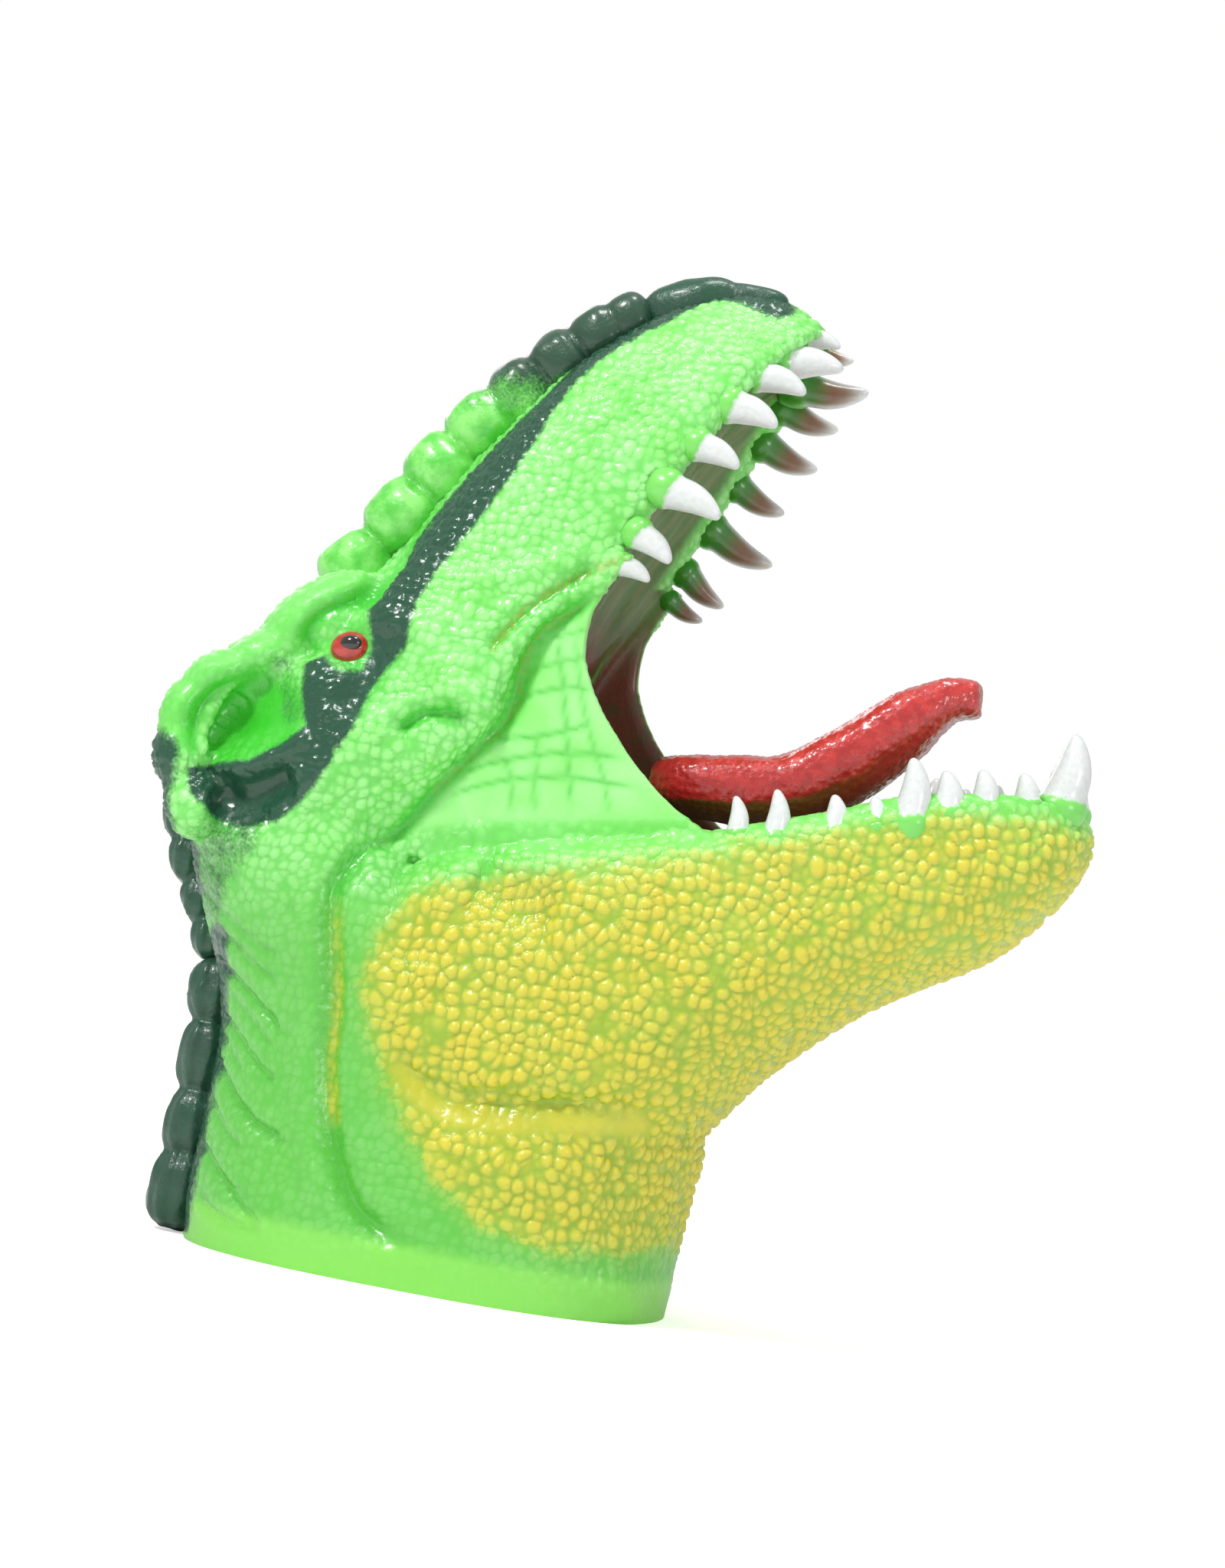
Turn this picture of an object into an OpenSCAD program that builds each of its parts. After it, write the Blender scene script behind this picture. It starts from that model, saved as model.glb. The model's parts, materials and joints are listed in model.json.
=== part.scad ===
// Stretch-rubber hand puppet: a roaring carnivorous dinosaur's head.
// X runs forward along the snout, Y across the head, Z up the forearm.
// The origin is the centre of the hand opening, in the plane of the cuff's rim.

/* [Cuff and neck] */
// Width of the head across the cuff
cuff_w = 76; // [70:1:84]
// Height of the smooth band round the cuff
band_h = 8; // [5:0.5:12]
// How far the cuff band stands proud of the neck
band_proud = 0.8; // [0.4:0.1:1.5]
// Thickness of the rubber wall
wall = 2.6; // [2:0.1:3.2]

/* [Head] */
// Width of the skull at the temples
skull_w = 78; // [70:1:84]
// Depth of the hollow of the palate between the tooth rows
palate_h = 8; // [4:0.5:10]
// Width of the lower jaw at the cheeks
jaw_w = 72; // [66:1:76]
// Depth of the hollow of the mouth floor between the tooth rows
floor_h = 7; // [3:0.5:8]

/* [Teeth] */
// Number of upper teeth on each side
upper_teeth = 8; // [4:1:8]
// Number of lower teeth on each side
lower_teeth = 9; // [4:1:9]
// Length of the big pair of fangs at the chin
fang_len = 12; // [8:0.5:14]

/* [Tongue] */
// Width of the tongue at its root
tongue_w = 30; // [20:1:34]
// Thickness of the tongue at its middle
tongue_t = 9; // [6:0.5:10]

/* [Scutes] */
// Number of rounded scutes in each row on the snout
snout_scutes = 7; // [4:1:8]
// Number of scutes in each row down the neck
nape_scutes = 4; // [3:1:5]

/* [Hidden] */
SIDES = ["left", "right"];

green = "limegreen";
dark_green = "darkgreen";
yellow_green = "yellowgreen";
tongue_red = "firebrick";
ivory = "ivory";
sides = 28;          // points round a section
crown_round = 0.82;  // how round a section is at its outer side, where 1 is an ellipse
lip_square = 0.42;   // how square a section is at its lips
arch_w = 0.76;       // width of a hollow as a share of the section
gap = 0.8;           // clearance between a skin and a moving shell
skin_t = 1.6;        // thickness of the thin skins and linings
sink = 1.5;          // how far a moulded-on piece is rooted in its shell

// Sections are [outer point, inner or lip point, half width], each point as [x, z].
// The skull's run from the nape to the snout tip, along the ridge and the lip line.
skull_rows = [
    [[-60, 88], [-20, 83], skull_w / 2 - 3],
    [[-61, 100], [-6, 95], skull_w / 2],
    [[-53, 112], [1, 108], skull_w / 2 - 2],
    [[-40, 123], [6, 123], skull_w / 2 - 5],
    [[-30, 135], [14, 134], skull_w / 2 - 7.5],
    [[-22, 148], [20, 145], skull_w / 2 - 8],
    [[-13, 162], [27, 160], skull_w / 2 - 9.5],
    [[-3, 175], [33, 174], skull_w / 2 - 14],
    [[10, 186], [38, 182], skull_w / 2 - 20],
    [[24, 192.5], [41, 186.5], skull_w / 2 - 27],
    [[34, 192.5], [39.5, 189], skull_w / 2 - 34]];
// The lower jaw's run from under the cheek to the chin, along the throat and the lip.
jaw_rows = [
    [[33, 43], [2, 85], jaw_w / 2],
    [[50, 50], [19, 88.5], jaw_w / 2 - 1],
    [[63, 60.5], [36, 92], jaw_w / 2 - 2.5],
    [[75, 68.5], [51, 95.5], jaw_w / 2 - 4.5],
    [[87, 77.5], [66, 100], jaw_w / 2 - 6],
    [[97, 88], [81, 105.5], jaw_w / 2 - 9],
    [[102.5, 95], [91, 108], jaw_w / 2 - 14],
    [[106, 101], [99, 110], jaw_w / 2 - 20],
    [[107, 106], [104, 110.5], jaw_w / 2 - 29]];
// How much of the full hollow each section has, in the skull and in the jaw
skull_hollow = [0, 0.6, 1.2, 1.6, 1.5, 1.2, 1.1, 1.1, 0.8, 0.3, 0];
jaw_hollow = [0, 0.5, 1, 1, 1, 0.8, 0.5, 0.2, 0];
// The neck's run from the rim of the cuff to the foot of the jaw, back point first.
neck_rows = [
    [[-48, 0], [41, 0], cuff_w / 2],
    [[-50, 10], [41.5, 8], cuff_w / 2],
    [[-50, 25], [42.5, 16], cuff_w / 2],
    [[-50, 40], [41, 24], cuff_w / 2 - 0.5],
    [[-54, 54], [38, 29], cuff_w / 2 - 1],
    [[-59, 65], [35, 33], cuff_w / 2 - 1]];
hinge = [-12, 80];   // the jaws' common pivot, at the corner of the cheek

// A number raised to a power, with its own sign
function spow(v, e) = sign(v) * pow(abs(v), e);
function mix(a, b, f) = a + (b - a) * f;
// A row between two rows of a list, at a fraction of the list's length
function row_at(rows, f) =
    let (s = f * (len(rows) - 1), i = min(floor(s), len(rows) - 2), g = s - i)
    [for (k = [0:2]) mix(rows[i][k], rows[i + 1][k], g)];
// A point of a section at angle a: rounded at its outer point, squarer at its lips, hollowed by "arch"
function ring_point(row, a, inset, square, arch = 0) =
    let (mid = (row[0] + row[1]) / 2, half = (row[0] - row[1]) / 2,
         dir = half / norm(half), h = norm(half) - inset, w = row[2] - inset,
         e = cos(a) < 0 ? square : crown_round, y = w * spow(sin(a), e),
         lift = cos(a) < 0 ? arch * max(0, 1 - pow(y / (arch_w * w), 2)) : 0,
         p = mid + dir * (h * spow(cos(a), e) + lift))
    [p[0], y, p[1]];
function ring(row, arch = 0, inset = 0, square = lip_square, turn = 1) =
    [for (i = [0:sides - 1]) ring_point(row, turn * 360 * i / sides, inset, square, arch)];
function rings(rows, arch, inset = 0, square = lip_square, turn = 1) =
    [for (i = [0:len(rows) - 1]) ring(rows[i], arch[i], inset, square, turn)];
// The point of the lip's rim at a fraction of the rows and a distance y from the middle
function lip_at(rows, s, y) =
    let (row = row_at(rows, s / (len(rows) - 1)), half = (row[0] - row[1]) / 2,
         a = asin(min(1, pow(y / row[2], 1 / lip_square))),
         p = (row[0] + row[1]) / 2 - half * spow(cos(a), lip_square))
    [p[0], y, p[1]];

// Triangles between the rows of a grid that closes on itself or stays open
function band_faces(m, n, first, wrap, flip) =
    [for (i = [0:m - 2], j = [0:(wrap ? n - 1 : n - 2)])
        let (a = first + i * n + j, b = first + i * n + (j + 1) % n, c = a + n, d = b + n)
        each (flip ? [[a, d, b], [a, c, d]] : [[a, b, d], [a, d, c]])];
function strip_faces(a, b, flip) =
    [for (k = [0:len(a) - 2])
        each (flip ? [[a[k], a[k + 1], b[k + 1]], [a[k], b[k + 1], b[k]]]
                   : [[a[k], b[k + 1], a[k + 1]], [a[k], b[k], b[k + 1]]])];
function fan_faces(first, n, centre, flip) =
    [for (j = [0:n - 1]) let (a = first + j, b = first + (j + 1) % n)
        flip ? [centre, b, a] : [centre, a, b]];
function flat(grid) = [for (r = grid) each r];
function centre_of(r) = [for (k = [0:2]) sum([for (p = r) p[k]]) / len(r)];
function sum(v, i = 0) = i < len(v) ? v[i] + sum(v, i + 1) : 0;
function loop(first, n) = [for (j = [0:n]) first + j % n];

// A solid through closed sections, with both ends filled
module solid_loft(g) {
    m = len(g);
    n = len(g[0]);
    polyhedron(concat(flat(g), [centre_of(g[0]), centre_of(g[m - 1])]),
        concat(band_faces(m, n, 0, true, false), fan_faces(0, n, m * n, true),
            fan_faces((m - 1) * n, n, m * n + 1, false)));
}

// A wall between two sets of closed sections, open at both ends
module tube_wall(outer, inner) {
    m = len(outer);
    k = len(inner);
    n = len(outer[0]);
    polyhedron(concat(flat(outer), flat(inner)),
        concat(band_faces(m, n, 0, true, false), band_faces(k, n, m * n, true, true),
            strip_faces(loop(0, n), loop(m * n, n), false),
            strip_faces(loop((m - 1) * n, n), loop((m + k - 1) * n, n), true)));
}

// A pocket between two sets of closed sections, open at the first and shut at the last
module pocket_wall(outer, inner) {
    m = len(outer);
    k = len(inner);
    n = len(outer[0]);
    last = (m + k) * n;
    polyhedron(concat(flat(outer), flat(inner), [centre_of(outer[m - 1]), centre_of(inner[k - 1])]),
        concat(band_faces(m, n, 0, true, false), band_faces(k, n, m * n, true, true),
            strip_faces(loop(0, n), loop(m * n, n), false),
            fan_faces((m - 1) * n, n, last, false), fan_faces((m + k - 1) * n, n, last + 1, true)));
}

// A sheet between two open grids
module sheet_wall(outer, inner) {
    m = len(outer);
    n = len(outer[0]);
    s = m * n;
    polyhedron(concat(flat(outer), flat(inner)),
        concat(band_faces(m, n, 0, false, false), band_faces(m, n, s, false, true),
            strip_faces([for (j = [0:n - 1]) j], [for (j = [0:n - 1]) s + j], false),
            strip_faces([for (j = [0:n - 1]) s - n + j], [for (j = [0:n - 1]) 2 * s - n + j], true),
            strip_faces([for (i = [0:m - 1]) i * n], [for (i = [0:m - 1]) s + i * n], true),
            strip_faces([for (i = [0:m - 1]) i * n + n - 1],
                [for (i = [0:m - 1]) s + i * n + n - 1], false)));
}

// An egg with its middle at c, half length a along the angle "turn" in XZ, half width b, half height h
module egg(c, a, b, h, turn) {
    n = 14;
    m = 7;
    function at(i, j) = let (u = 180 * i / m, v = 360 * j / n,
        p = a * -cos(u), q = h * sin(u) * cos(v))
        [c[0] + p * cos(turn) - q * sin(turn), c[1] + b * sin(u) * sin(v),
         c[2] + p * sin(turn) + q * cos(turn)];
    g = [for (i = [1:m - 1]) [for (j = [0:n - 1]) at(i, j)]];
    k = m - 1;
    polyhedron(concat(flat(g), [at(0, 0), at(m, 0)]),
        concat(band_faces(k, n, 0, true, true), fan_faces(0, n, k * n, false),
            fan_faces((k - 1) * n, n, k * n + 1, true)));
}

// A blunt fang of length l and root radius r, standing along +Z on its gum
module tooth(l, r) {
    rotate_extrude($fn = 20)
        polygon([[0, -sink], [0.9 * r, -sink], [r, 0.15 * l], [0.86 * r, 0.45 * l],
            [0.62 * r, 0.75 * l], [0.36 * r, 0.95 * l], [0, l]]);
}

// A piece made for the left side, mirrored for the right
module on_side(s) {
    if (s == "left") children();
    else mirror([0, 1, 0]) children();
}

module neck_shell() {
    flat_arch = [for (r = neck_rows) 0];
    color(green) tube_wall(rings(neck_rows, flat_arch, 0, crown_round),
        rings(neck_rows, flat_arch, wall, crown_round));
}

module cuff_band() {
    top = row_at(neck_rows, band_h / 10 / (len(neck_rows) - 1));
    rows = [neck_rows[0], top];
    color(yellow_green) tube_wall(rings(rows, [0, 0], -band_proud, crown_round),
        rings(rows, [0, 0], -0.02, crown_round));
}

// Rounded scutes in a row down the neck, growing towards the cuff
module nape_scute_row(s) {
    on_side(s) color(dark_green) for (k = [0:nape_scutes - 1]) {
        row = row_at(neck_rows, 0.17 + 0.75 * k / (nape_scutes - 1));
        size = mix(7, 5, k / (nape_scutes - 1));
        egg([row[0][0] - 1, size, row[0][1]], size, size - 0.4, size * 0.8, 84 + 5 * k);
    }
}

// A skin from the neck's rim, over the angles "low", to a moving shell's first ring, over "high"
module joining_skin(row, low, high) {
    steps = 12;
    rim = neck_rows[len(neck_rows) - 1];
    function at(f, inset, k) = let (
        p = ring_point(rim, mix(low[0], low[1], k / steps), inset, crown_round),
        q = ring_point(row, mix(high[0], high[1], k / steps), inset, lip_square),
        d = (q - p) / norm(q - p))
        mix(p + d * gap, q - d * gap, f);
    function grid(inset) = [for (f = [0, 0.5, 1]) [for (k = [0:steps]) at(f, inset, k)]];
    sheet_wall(grid(0), grid(skin_t));
}
module nape_skin() { color(green) joining_skin(skull_rows[0], [-100, 100], [-138, 138]); }
// The jaw's sections start at the throat, so its ring is met half a turn away
module throat_skin() { color(yellow_green) joining_skin(jaw_rows[0], [104, 256], [142, -142]); }

// The stretched skin at the corner of the mouth, a fan between the two jaws
module cheek_web(s) {
    cols = 6;
    foot = [[-4, 51], [-12, 54]];
    corner = [[3, 83], [-21, 80]];
    spread = [0.3, 0.5, 0.75, 1];
    rise = [[-9, 86], [-1.5, 98], [4.5, 110], [9.5, 122], [15, 131.5]];
    function top(f) = let (g = min(f, 0.999) * 4, i = floor(g)) mix(rise[i], rise[i + 1], g - i);
    function at(f, j, y) = let (c = j / cols, bow = 4 * c * (1 - c) * f,
        p = mix(mix([-6, 86.5], [36, 95.5], f), top(f), c))
        [p[0] - 9 * bow, y - 3 * bow - 2 * f, p[1] + bow];
    function edge(ends, j, y) = let (p = mix(ends[0], ends[1], j / cols)) [p[0], y, p[1]];
    function grid(y) = concat(
        [[for (j = [0:cols]) edge(foot, j, y)], [for (j = [0:cols]) edge(corner, j, y)]],
        [for (f = spread) [for (j = [0:cols]) at(f, j, y)]]);
    on_side(s) color(green) sheet_wall(grid(33), grid(33 - skin_t));
}

// The wall at the back of the mouth, between the palate and the tongue
module throat_lining() {
    half_w = 24;
    line = [[17.5, 131], [15.5, 121], [15.5, 110], [17, 99.5]];
    function grid(back) = [for (p = line) [for (k = [-4:4])
        [p[0] - back + 4 * pow(k / 4, 2), half_w * k / 4, p[1]]]];
    color(tongue_red) sheet_wall(grid(0), grid(skin_t));
}

function hollows(depth, share) = [for (v = share) v * depth];
module skull_shell() {
    inner_last = len(skull_rows) - 3;
    deep = hollows(palate_h, skull_hollow);
    color(green) pocket_wall(rings(skull_rows, deep),
        [for (i = [0:inner_last]) ring(skull_rows[i], deep[i], wall)]);
}
module jaw_shell() {
    inner_last = len(jaw_rows) - 3;
    deep = hollows(floor_h, jaw_hollow);
    color(yellow_green) pocket_wall(rings(jaw_rows, deep, 0, lip_square, -1),
        [for (i = [0:inner_last]) ring(jaw_rows[i], deep[i], wall, lip_square, -1)]);
}

// A thin lining on the hollow of a jaw, over the middle of sections i0 to i1
module hollow_lining(rows, deep, i0, i1, turn) {
    middle = sides / 2;
    span = 3;
    function grid(off) = [for (i = [i0:i1]) let (
        r = ring(rows[i], deep[i], 0, lip_square, turn), across = rows[i][1] - rows[i][0],
        d = across / norm(across))
        [for (j = [middle - span:middle + span]) r[j] + off * [d[0], 0, d[1]]]];
    sheet_wall(grid(skin_t), grid(0.02));
}
module palate() {
    color("darkseagreen") hollow_lining(skull_rows, hollows(palate_h, skull_hollow), 4, 9, 1);
}
module mouth_floor() {
    color(tongue_red) hollow_lining(jaw_rows, hollows(floor_h, jaw_hollow), 1, 7, -1);
}

module brow(s) { on_side(s) color(green) egg([-41, 23, 119], 14, 8, 7, 42); }
module eye(s) { on_side(s) color("red") egg([-29.5, 29.5, 114], 5.2, 3.4, 4.6, 45); }
module pupil(s) { on_side(s) color("black") egg([-29, 32.4, 114.4], 2.6, 1.4, 2.2, 10); }

// Two rows of rounded scutes along the ridge of the snout
module snout_scute_row(s) {
    spacing = 68 / (snout_scutes - 1);
    on_side(s) color(green) for (k = [0:snout_scutes - 1]) {
        f = mix(0.35, 0.77, k / (snout_scutes - 1));
        row = row_at(skull_rows, f);
        size = mix(6.8, 5, k / (snout_scutes - 1));
        egg([row[0][0] - 2.5, size * 1.15, row[0][1] + 2], spacing * 0.46, size, size, mix(48, 40, f));
    }
}
module snout_plate(s) { on_side(s) color(dark_green) egg([12, 5, 190], 13, 4.4, 4, 22); }
module head_scutes() {
    color(dark_green) for (k = [0:3])
        egg([-65.5 + pow(k - 1.2, 2) * 0.6, 0, 75 + 9.5 * k], 4.4, 9, 5, 90);
}

// Sections of the tongue: top point, bottom point, half width
tongue_rows = [
    [[21, 106.5], [20, 97], tongue_w / 2],
    [[35, 103.5], [34, 103.5 - tongue_t], tongue_w / 2],
    [[47, 105], [48, 105 - tongue_t], tongue_w / 2 - 1.5],
    [[57.5, 112], [60, 112 - tongue_t], tongue_w / 2 - 3],
    [[68, 121], [71, 122 - tongue_t], tongue_w / 2 - 5],
    [[77, 126], [78, 119.5], tongue_w / 2 - 7.5],
    [[81, 126], [81.5, 121], tongue_w / 2 - 10.5]];
tongue_split = 3;    // the section at which the tip starts
tongue_square = 0.8;
module tongue_base() {
    color(tongue_red) solid_loft([for (i = [0:tongue_split])
        ring(tongue_rows[i], 0, 0, tongue_square)]);
}
module tongue_tip() {
    first = row_at(tongue_rows, (tongue_split + 0.06) / (len(tongue_rows) - 1));
    color(tongue_red) solid_loft(concat([ring(first, 0, 0, tongue_square)],
        [for (i = [tongue_split + 1:len(tongue_rows) - 1]) ring(tongue_rows[i], 0, 0, tongue_square)]));
}

// Teeth as [section, distance from the middle, length, root radius, lean]: upper from the front,
// lower from the back
upper_set = [
    [8.85, 7, 5.5, 2.2, 8], [7.8, 14, 9.5, 3.4, -5], [7.25, 20, 8.5, 3.1, 16], [6.6, 24.5, 8.5, 3.2, 18],
    [5.9, 27.5, 8, 3, 17], [5.35, 28.5, 9.4, 3.4, 20], [4.7, 29, 7, 2.8, 28], [4.2, 29, 5, 2.1, 24]];
lower_set = [
    [2.6, 30.5, 6, 1.7, 12], [3.05, 30, 8, 2.2, 8], [3.75, 28.5, 6.5, 2, 8], [4.2, 27.5, 5, 2, 10],
    [4.57, 26, 9, 2.8, 4], [5, 24, 7, 2.5, 8], [5.6, 21, 6.5, 2.4, 10], [6.4, 17.5, 5, 2.2, 8],
    [7.25, 11.5, fang_len, 3.6, -2]];
module upper_tooth(s, k) {
    t = upper_set[k - 1];
    on_side(s) color(ivory) translate(lip_at(skull_rows, t[0], t[1])) rotate([0, 90 + t[4], 0])
        tooth(t[2], t[3]);
}
module lower_tooth(s, k) {
    t = lower_set[k - 1];
    on_side(s) color(ivory) translate(lip_at(jaw_rows, t[0], t[1])) rotate([0, -t[4], 0])
        tooth(t[2], t[3]);
}

neck_shell();
cuff_band();
nape_skin();
throat_skin();
throat_lining();
skull_shell();
palate();
head_scutes();
jaw_shell();
mouth_floor();
tongue_base();
tongue_tip();
for (s = SIDES) {
    nape_scute_row(s);
    cheek_web(s);
    brow(s);
    eye(s);
    pupil(s);
    snout_scute_row(s);
    snout_plate(s);
    for (k = [1:upper_teeth])
        upper_tooth(s, k);
    for (k = [1:lower_teeth])
        lower_tooth(s, k);
}
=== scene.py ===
import json
import math
import bpy
import numpy as np
from mathutils import Matrix, Vector


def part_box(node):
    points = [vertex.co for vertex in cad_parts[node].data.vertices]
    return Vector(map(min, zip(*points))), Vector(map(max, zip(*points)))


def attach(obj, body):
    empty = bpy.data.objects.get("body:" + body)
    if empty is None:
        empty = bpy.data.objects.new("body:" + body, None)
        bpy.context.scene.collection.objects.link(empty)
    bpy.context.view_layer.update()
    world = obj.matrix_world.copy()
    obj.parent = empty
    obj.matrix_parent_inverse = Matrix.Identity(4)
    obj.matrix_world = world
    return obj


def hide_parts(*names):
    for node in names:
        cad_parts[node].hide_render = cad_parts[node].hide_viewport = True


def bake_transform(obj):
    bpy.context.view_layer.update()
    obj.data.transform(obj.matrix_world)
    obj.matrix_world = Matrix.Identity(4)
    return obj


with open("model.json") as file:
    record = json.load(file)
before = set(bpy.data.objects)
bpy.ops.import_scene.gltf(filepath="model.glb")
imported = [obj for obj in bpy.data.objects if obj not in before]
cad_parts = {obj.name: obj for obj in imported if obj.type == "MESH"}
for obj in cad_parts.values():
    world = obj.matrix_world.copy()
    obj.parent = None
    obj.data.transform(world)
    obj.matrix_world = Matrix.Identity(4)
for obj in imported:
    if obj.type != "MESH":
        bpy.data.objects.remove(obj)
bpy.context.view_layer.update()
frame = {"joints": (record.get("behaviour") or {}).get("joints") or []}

bl_info = {
    "name": "Rubber Dinosaur Hand Puppet",
    "version": (1, 0, 0),
    "blender": (4, 5, 0),
    "location": "View3D > Sidebar > Puppet",
    "description": "Builds a stretch-rubber dinosaur hand puppet round its packed frame",
    "category": "Object",
}

MM = 0.001
HINGE = (-12.0, 80.0)          # the jaws' pivot in the XZ plane, in millimetres
UPPER_SOFT = 26.0              # distance over which the nape and cheeks take up the upper jaw's turn
LOWER_SOFT = 26.0              # the same for the throat and the lower jaw


class PuppetSizes(bpy.types.PropertyGroup):
    voxel: bpy.props.FloatProperty(
        name="Mould grid", description="Grain of the modelled skin, in millimetres",
        default=0.95, min=0.7, max=3.0)
    jaw_bead: bpy.props.FloatProperty(
        name="Jaw scale size", description="Width of a raised scale on the lower jaw, in millimetres",
        default=2.35, min=1.5, max=5.0)
    head_bead: bpy.props.FloatProperty(
        name="Head scale size", description="Width of a raised scale on the snout, in millimetres",
        default=2.0, min=1.2, max=5.0)
    bead_height: bpy.props.FloatProperty(
        name="Scale height", description="How far the scales stand proud, in millimetres",
        default=0.95, min=0.1, max=1.8)
    palate_depth: bpy.props.FloatProperty(
        name="Palate depth", description="Depth of the palate's hollow, in millimetres",
        default=12.0, min=2.0, max=12.0)
    floor_depth: bpy.props.FloatProperty(
        name="Mouth floor depth", description="Depth of the mouth floor's hollow, in millimetres",
        default=9.0, min=2.0, max=12.0)
    wall: bpy.props.FloatProperty(
        name="Rubber wall", description="Thickness of the rubber at the cuff, in millimetres",
        default=2.4, min=1.0, max=4.0)


def colour_property(name, description, default):
    return bpy.props.FloatVectorProperty(
        name=name, description=description, subtype="COLOR", size=3, min=0.0, max=1.0, default=default)


class PuppetColours(bpy.types.PropertyGroup):
    # The light green is the rubber's own colour, left on the scales' tops; the deep green is painted shade in
    # the folds and grooves.
    light_green: colour_property("Light green", "Rubber where it is thin or raised", (0.37, 0.88, 0.29))
    fold_shade_green: colour_property("Deep green", "Rubber in folds and between scales", (0.02, 0.50, 0.01))
    dark_green: colour_property("Dark green", "Paint on scutes and eye sockets", (0.018, 0.085, 0.045))
    yellow: colour_property("Yellow", "Paint on the tops of the jaw's scales", (0.68, 0.60, 0.05))
    red: colour_property("Red", "Paint on the tongue", (0.46, 0.018, 0.016))
    white: colour_property("White", "Paint on the teeth", (0.74, 0.76, 0.76))


# ---------------------------------------------------------------- outlines of the head, in millimetres
# Rows are outer x, outer z, lip x, lip z, half width, share of the hollow.
SKULL = [
    (-59, 76, -24, 74, 34, 0), (-61.5, 88, -18, 86, 36.5, 0), (-59, 97.5, -9, 95, 38, 0),
    (-52, 106.5, -2, 104, 37.5, 0), (-44, 115, 3, 113, 36, 0.3), (-36, 125.5, 8, 123, 34, 0.7),
    (-29, 137, 13.5, 133, 32, 1), (-22, 149, 19.5, 145, 31, 1), (-13, 162, 26.5, 159, 29.5, 1),
    (-3, 174.5, 33, 172.5, 26, 0.9), (9, 185, 38, 180.5, 20.5, 0.6), (21, 191, 41, 185, 14.5, 0.25),
    (30, 193, 41.5, 187.5, 8.5, 0), (34.5, 192.2, 40, 189, 3, 0)]
JAW = [
    (-20, 14, -18, 70, 33, 0), (-12, 13, -11, 78, 35, 0), (2, 12, 2, 83, 36.5, 0),
    (16, 13, 14, 86, 36.5, 0.3), (30, 20, 25, 88.2, 36, 0.8), (42, 34, 36, 91, 35, 1),
    (53, 48.5, 46.5, 94.6, 33, 1), (66, 61, 58.5, 98.6, 30.5, 1), (78, 69.5, 70, 103.2, 28, 1),
    (91, 77.3, 82, 106.4, 24.5, 0.9), (100.3, 87.2, 91.5, 107.6, 20, 0.7), (105.3, 96, 99, 107.4, 14, 0.4),
    (106.3, 102.5, 103, 107.4, 6, 0)]
NECK = [
    (-48.6, -4, 41.4, -4, 38.3, 0), (-49, 0, 41.8, 0, 38.4, 0), (-49.8, 10, 42.2, 9, 38.3, 0),
    (-49, 24, 42.8, 21, 37, 0), (-49, 38, 43.6, 34, 36.5, 0), (-51.5, 50, 38, 43, 36, 0),
    (-56, 61, 18, 55, 36, 0), (-60, 73, -2, 70, 36, 0), (-61.5, 84, -12, 84, 35, 0)]
CHEEK = [
    (-34, 76, 10, 80, 30, 0), (-34, 88, 6, 91, 31, 0), (-32, 100, 2, 103, 31.2, 0),
    (-28, 113, 0, 116, 31, 0), (-22, 125, 2, 128, 30.5, 0), (-14, 134, 7, 138, 29, 0)]
# The cheek webs' outline in XZ, from the palate down the free edge to the lip and back inside
WEB_FLAP = [(17.5, 138), (14.2, 132.5), (12, 126), (12, 119), (15, 112),
            (20, 105.5), (27, 98.5), (34, 93.5), (42, 89.5), (50, 85)]
WEB_ROOT = [(0, 138), (-6, 132), (-8, 125), (-8, 118), (-8, 111),
            (-8, 104), (-8, 97), (-6, 89), (0, 81), (10, 78)]

# Lobes as centre x, y, z, half lengths along, across and up, and the slope in degrees.
BROW = [(-40, 22, 117, 14, 10.5, 7.5, 43), (-49, 26, 108.5, 8, 8, 5, 30)]
TEMPLE = [(-55, 30, 103.5, 7, 7, 5, 30), (-59, 31.5, 97, 7.5, 6.5, 5, 68), (-59, 33, 89, 7, 5.5, 5, 95),
          (-55, 33, 80, 7, 5, 5, 115)]
SNOUT_SCUTES = [(-37.5, 9.2, 129.5, 7.6, 10.5, 7.4, 50), (-30.5, 9.4, 140.5, 7.4, 10.4, 7.2, 56),
                (-25, 9, 150.5, 6.6, 10, 7.2, 60), (-19, 8.4, 160, 6.6, 9.4, 6.9, 54),
                (-12.8, 7.8, 167.2, 6.0, 8.6, 6.7, 47), (-6.4, 7, 174.2, 5.6, 7.8, 6.3, 46),
                (-0.6, 6.4, 180.4, 5.0, 7.0, 5.7, 44), (5, 5.8, 184.6, 4.6, 6.2, 5.2, 36)]
SNOUT_PLATES = [(15.5, 5.2, 189.2, 9.6, 5.4, 4.7, 20), (25.5, 4.6, 191.6, 8.6, 4, 3, 2)]
HEAD_SCUTES = [(-67.2, 3.6, 94, 4.6, 4.4, 3.6, 84), (-66.8, 3.8, 86, 4.8, 4.6, 3.6, 92),
               (-65.2, 4, 78, 4.8, 4.8, 3.6, 102), (-62.4, 4, 70, 4.8, 4.8, 3.6, 112),
               (-58.6, 4.2, 62.5, 4.6, 4.8, 3.4, 118), (-55, 4.4, 55.6, 4.4, 5, 3.4, 112)]
NAPE_SCUTES = [(-52, 6, 46, 6.6, 6, 5, 92), (-51.5, 6.3, 33.5, 7.4, 6.2, 5, 90),
               (-51.5, 6.6, 20.5, 7.4, 6.6, 5.2, 87), (-51.5, 7, 8.4, 8.2, 7, 6, 89)]

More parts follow.
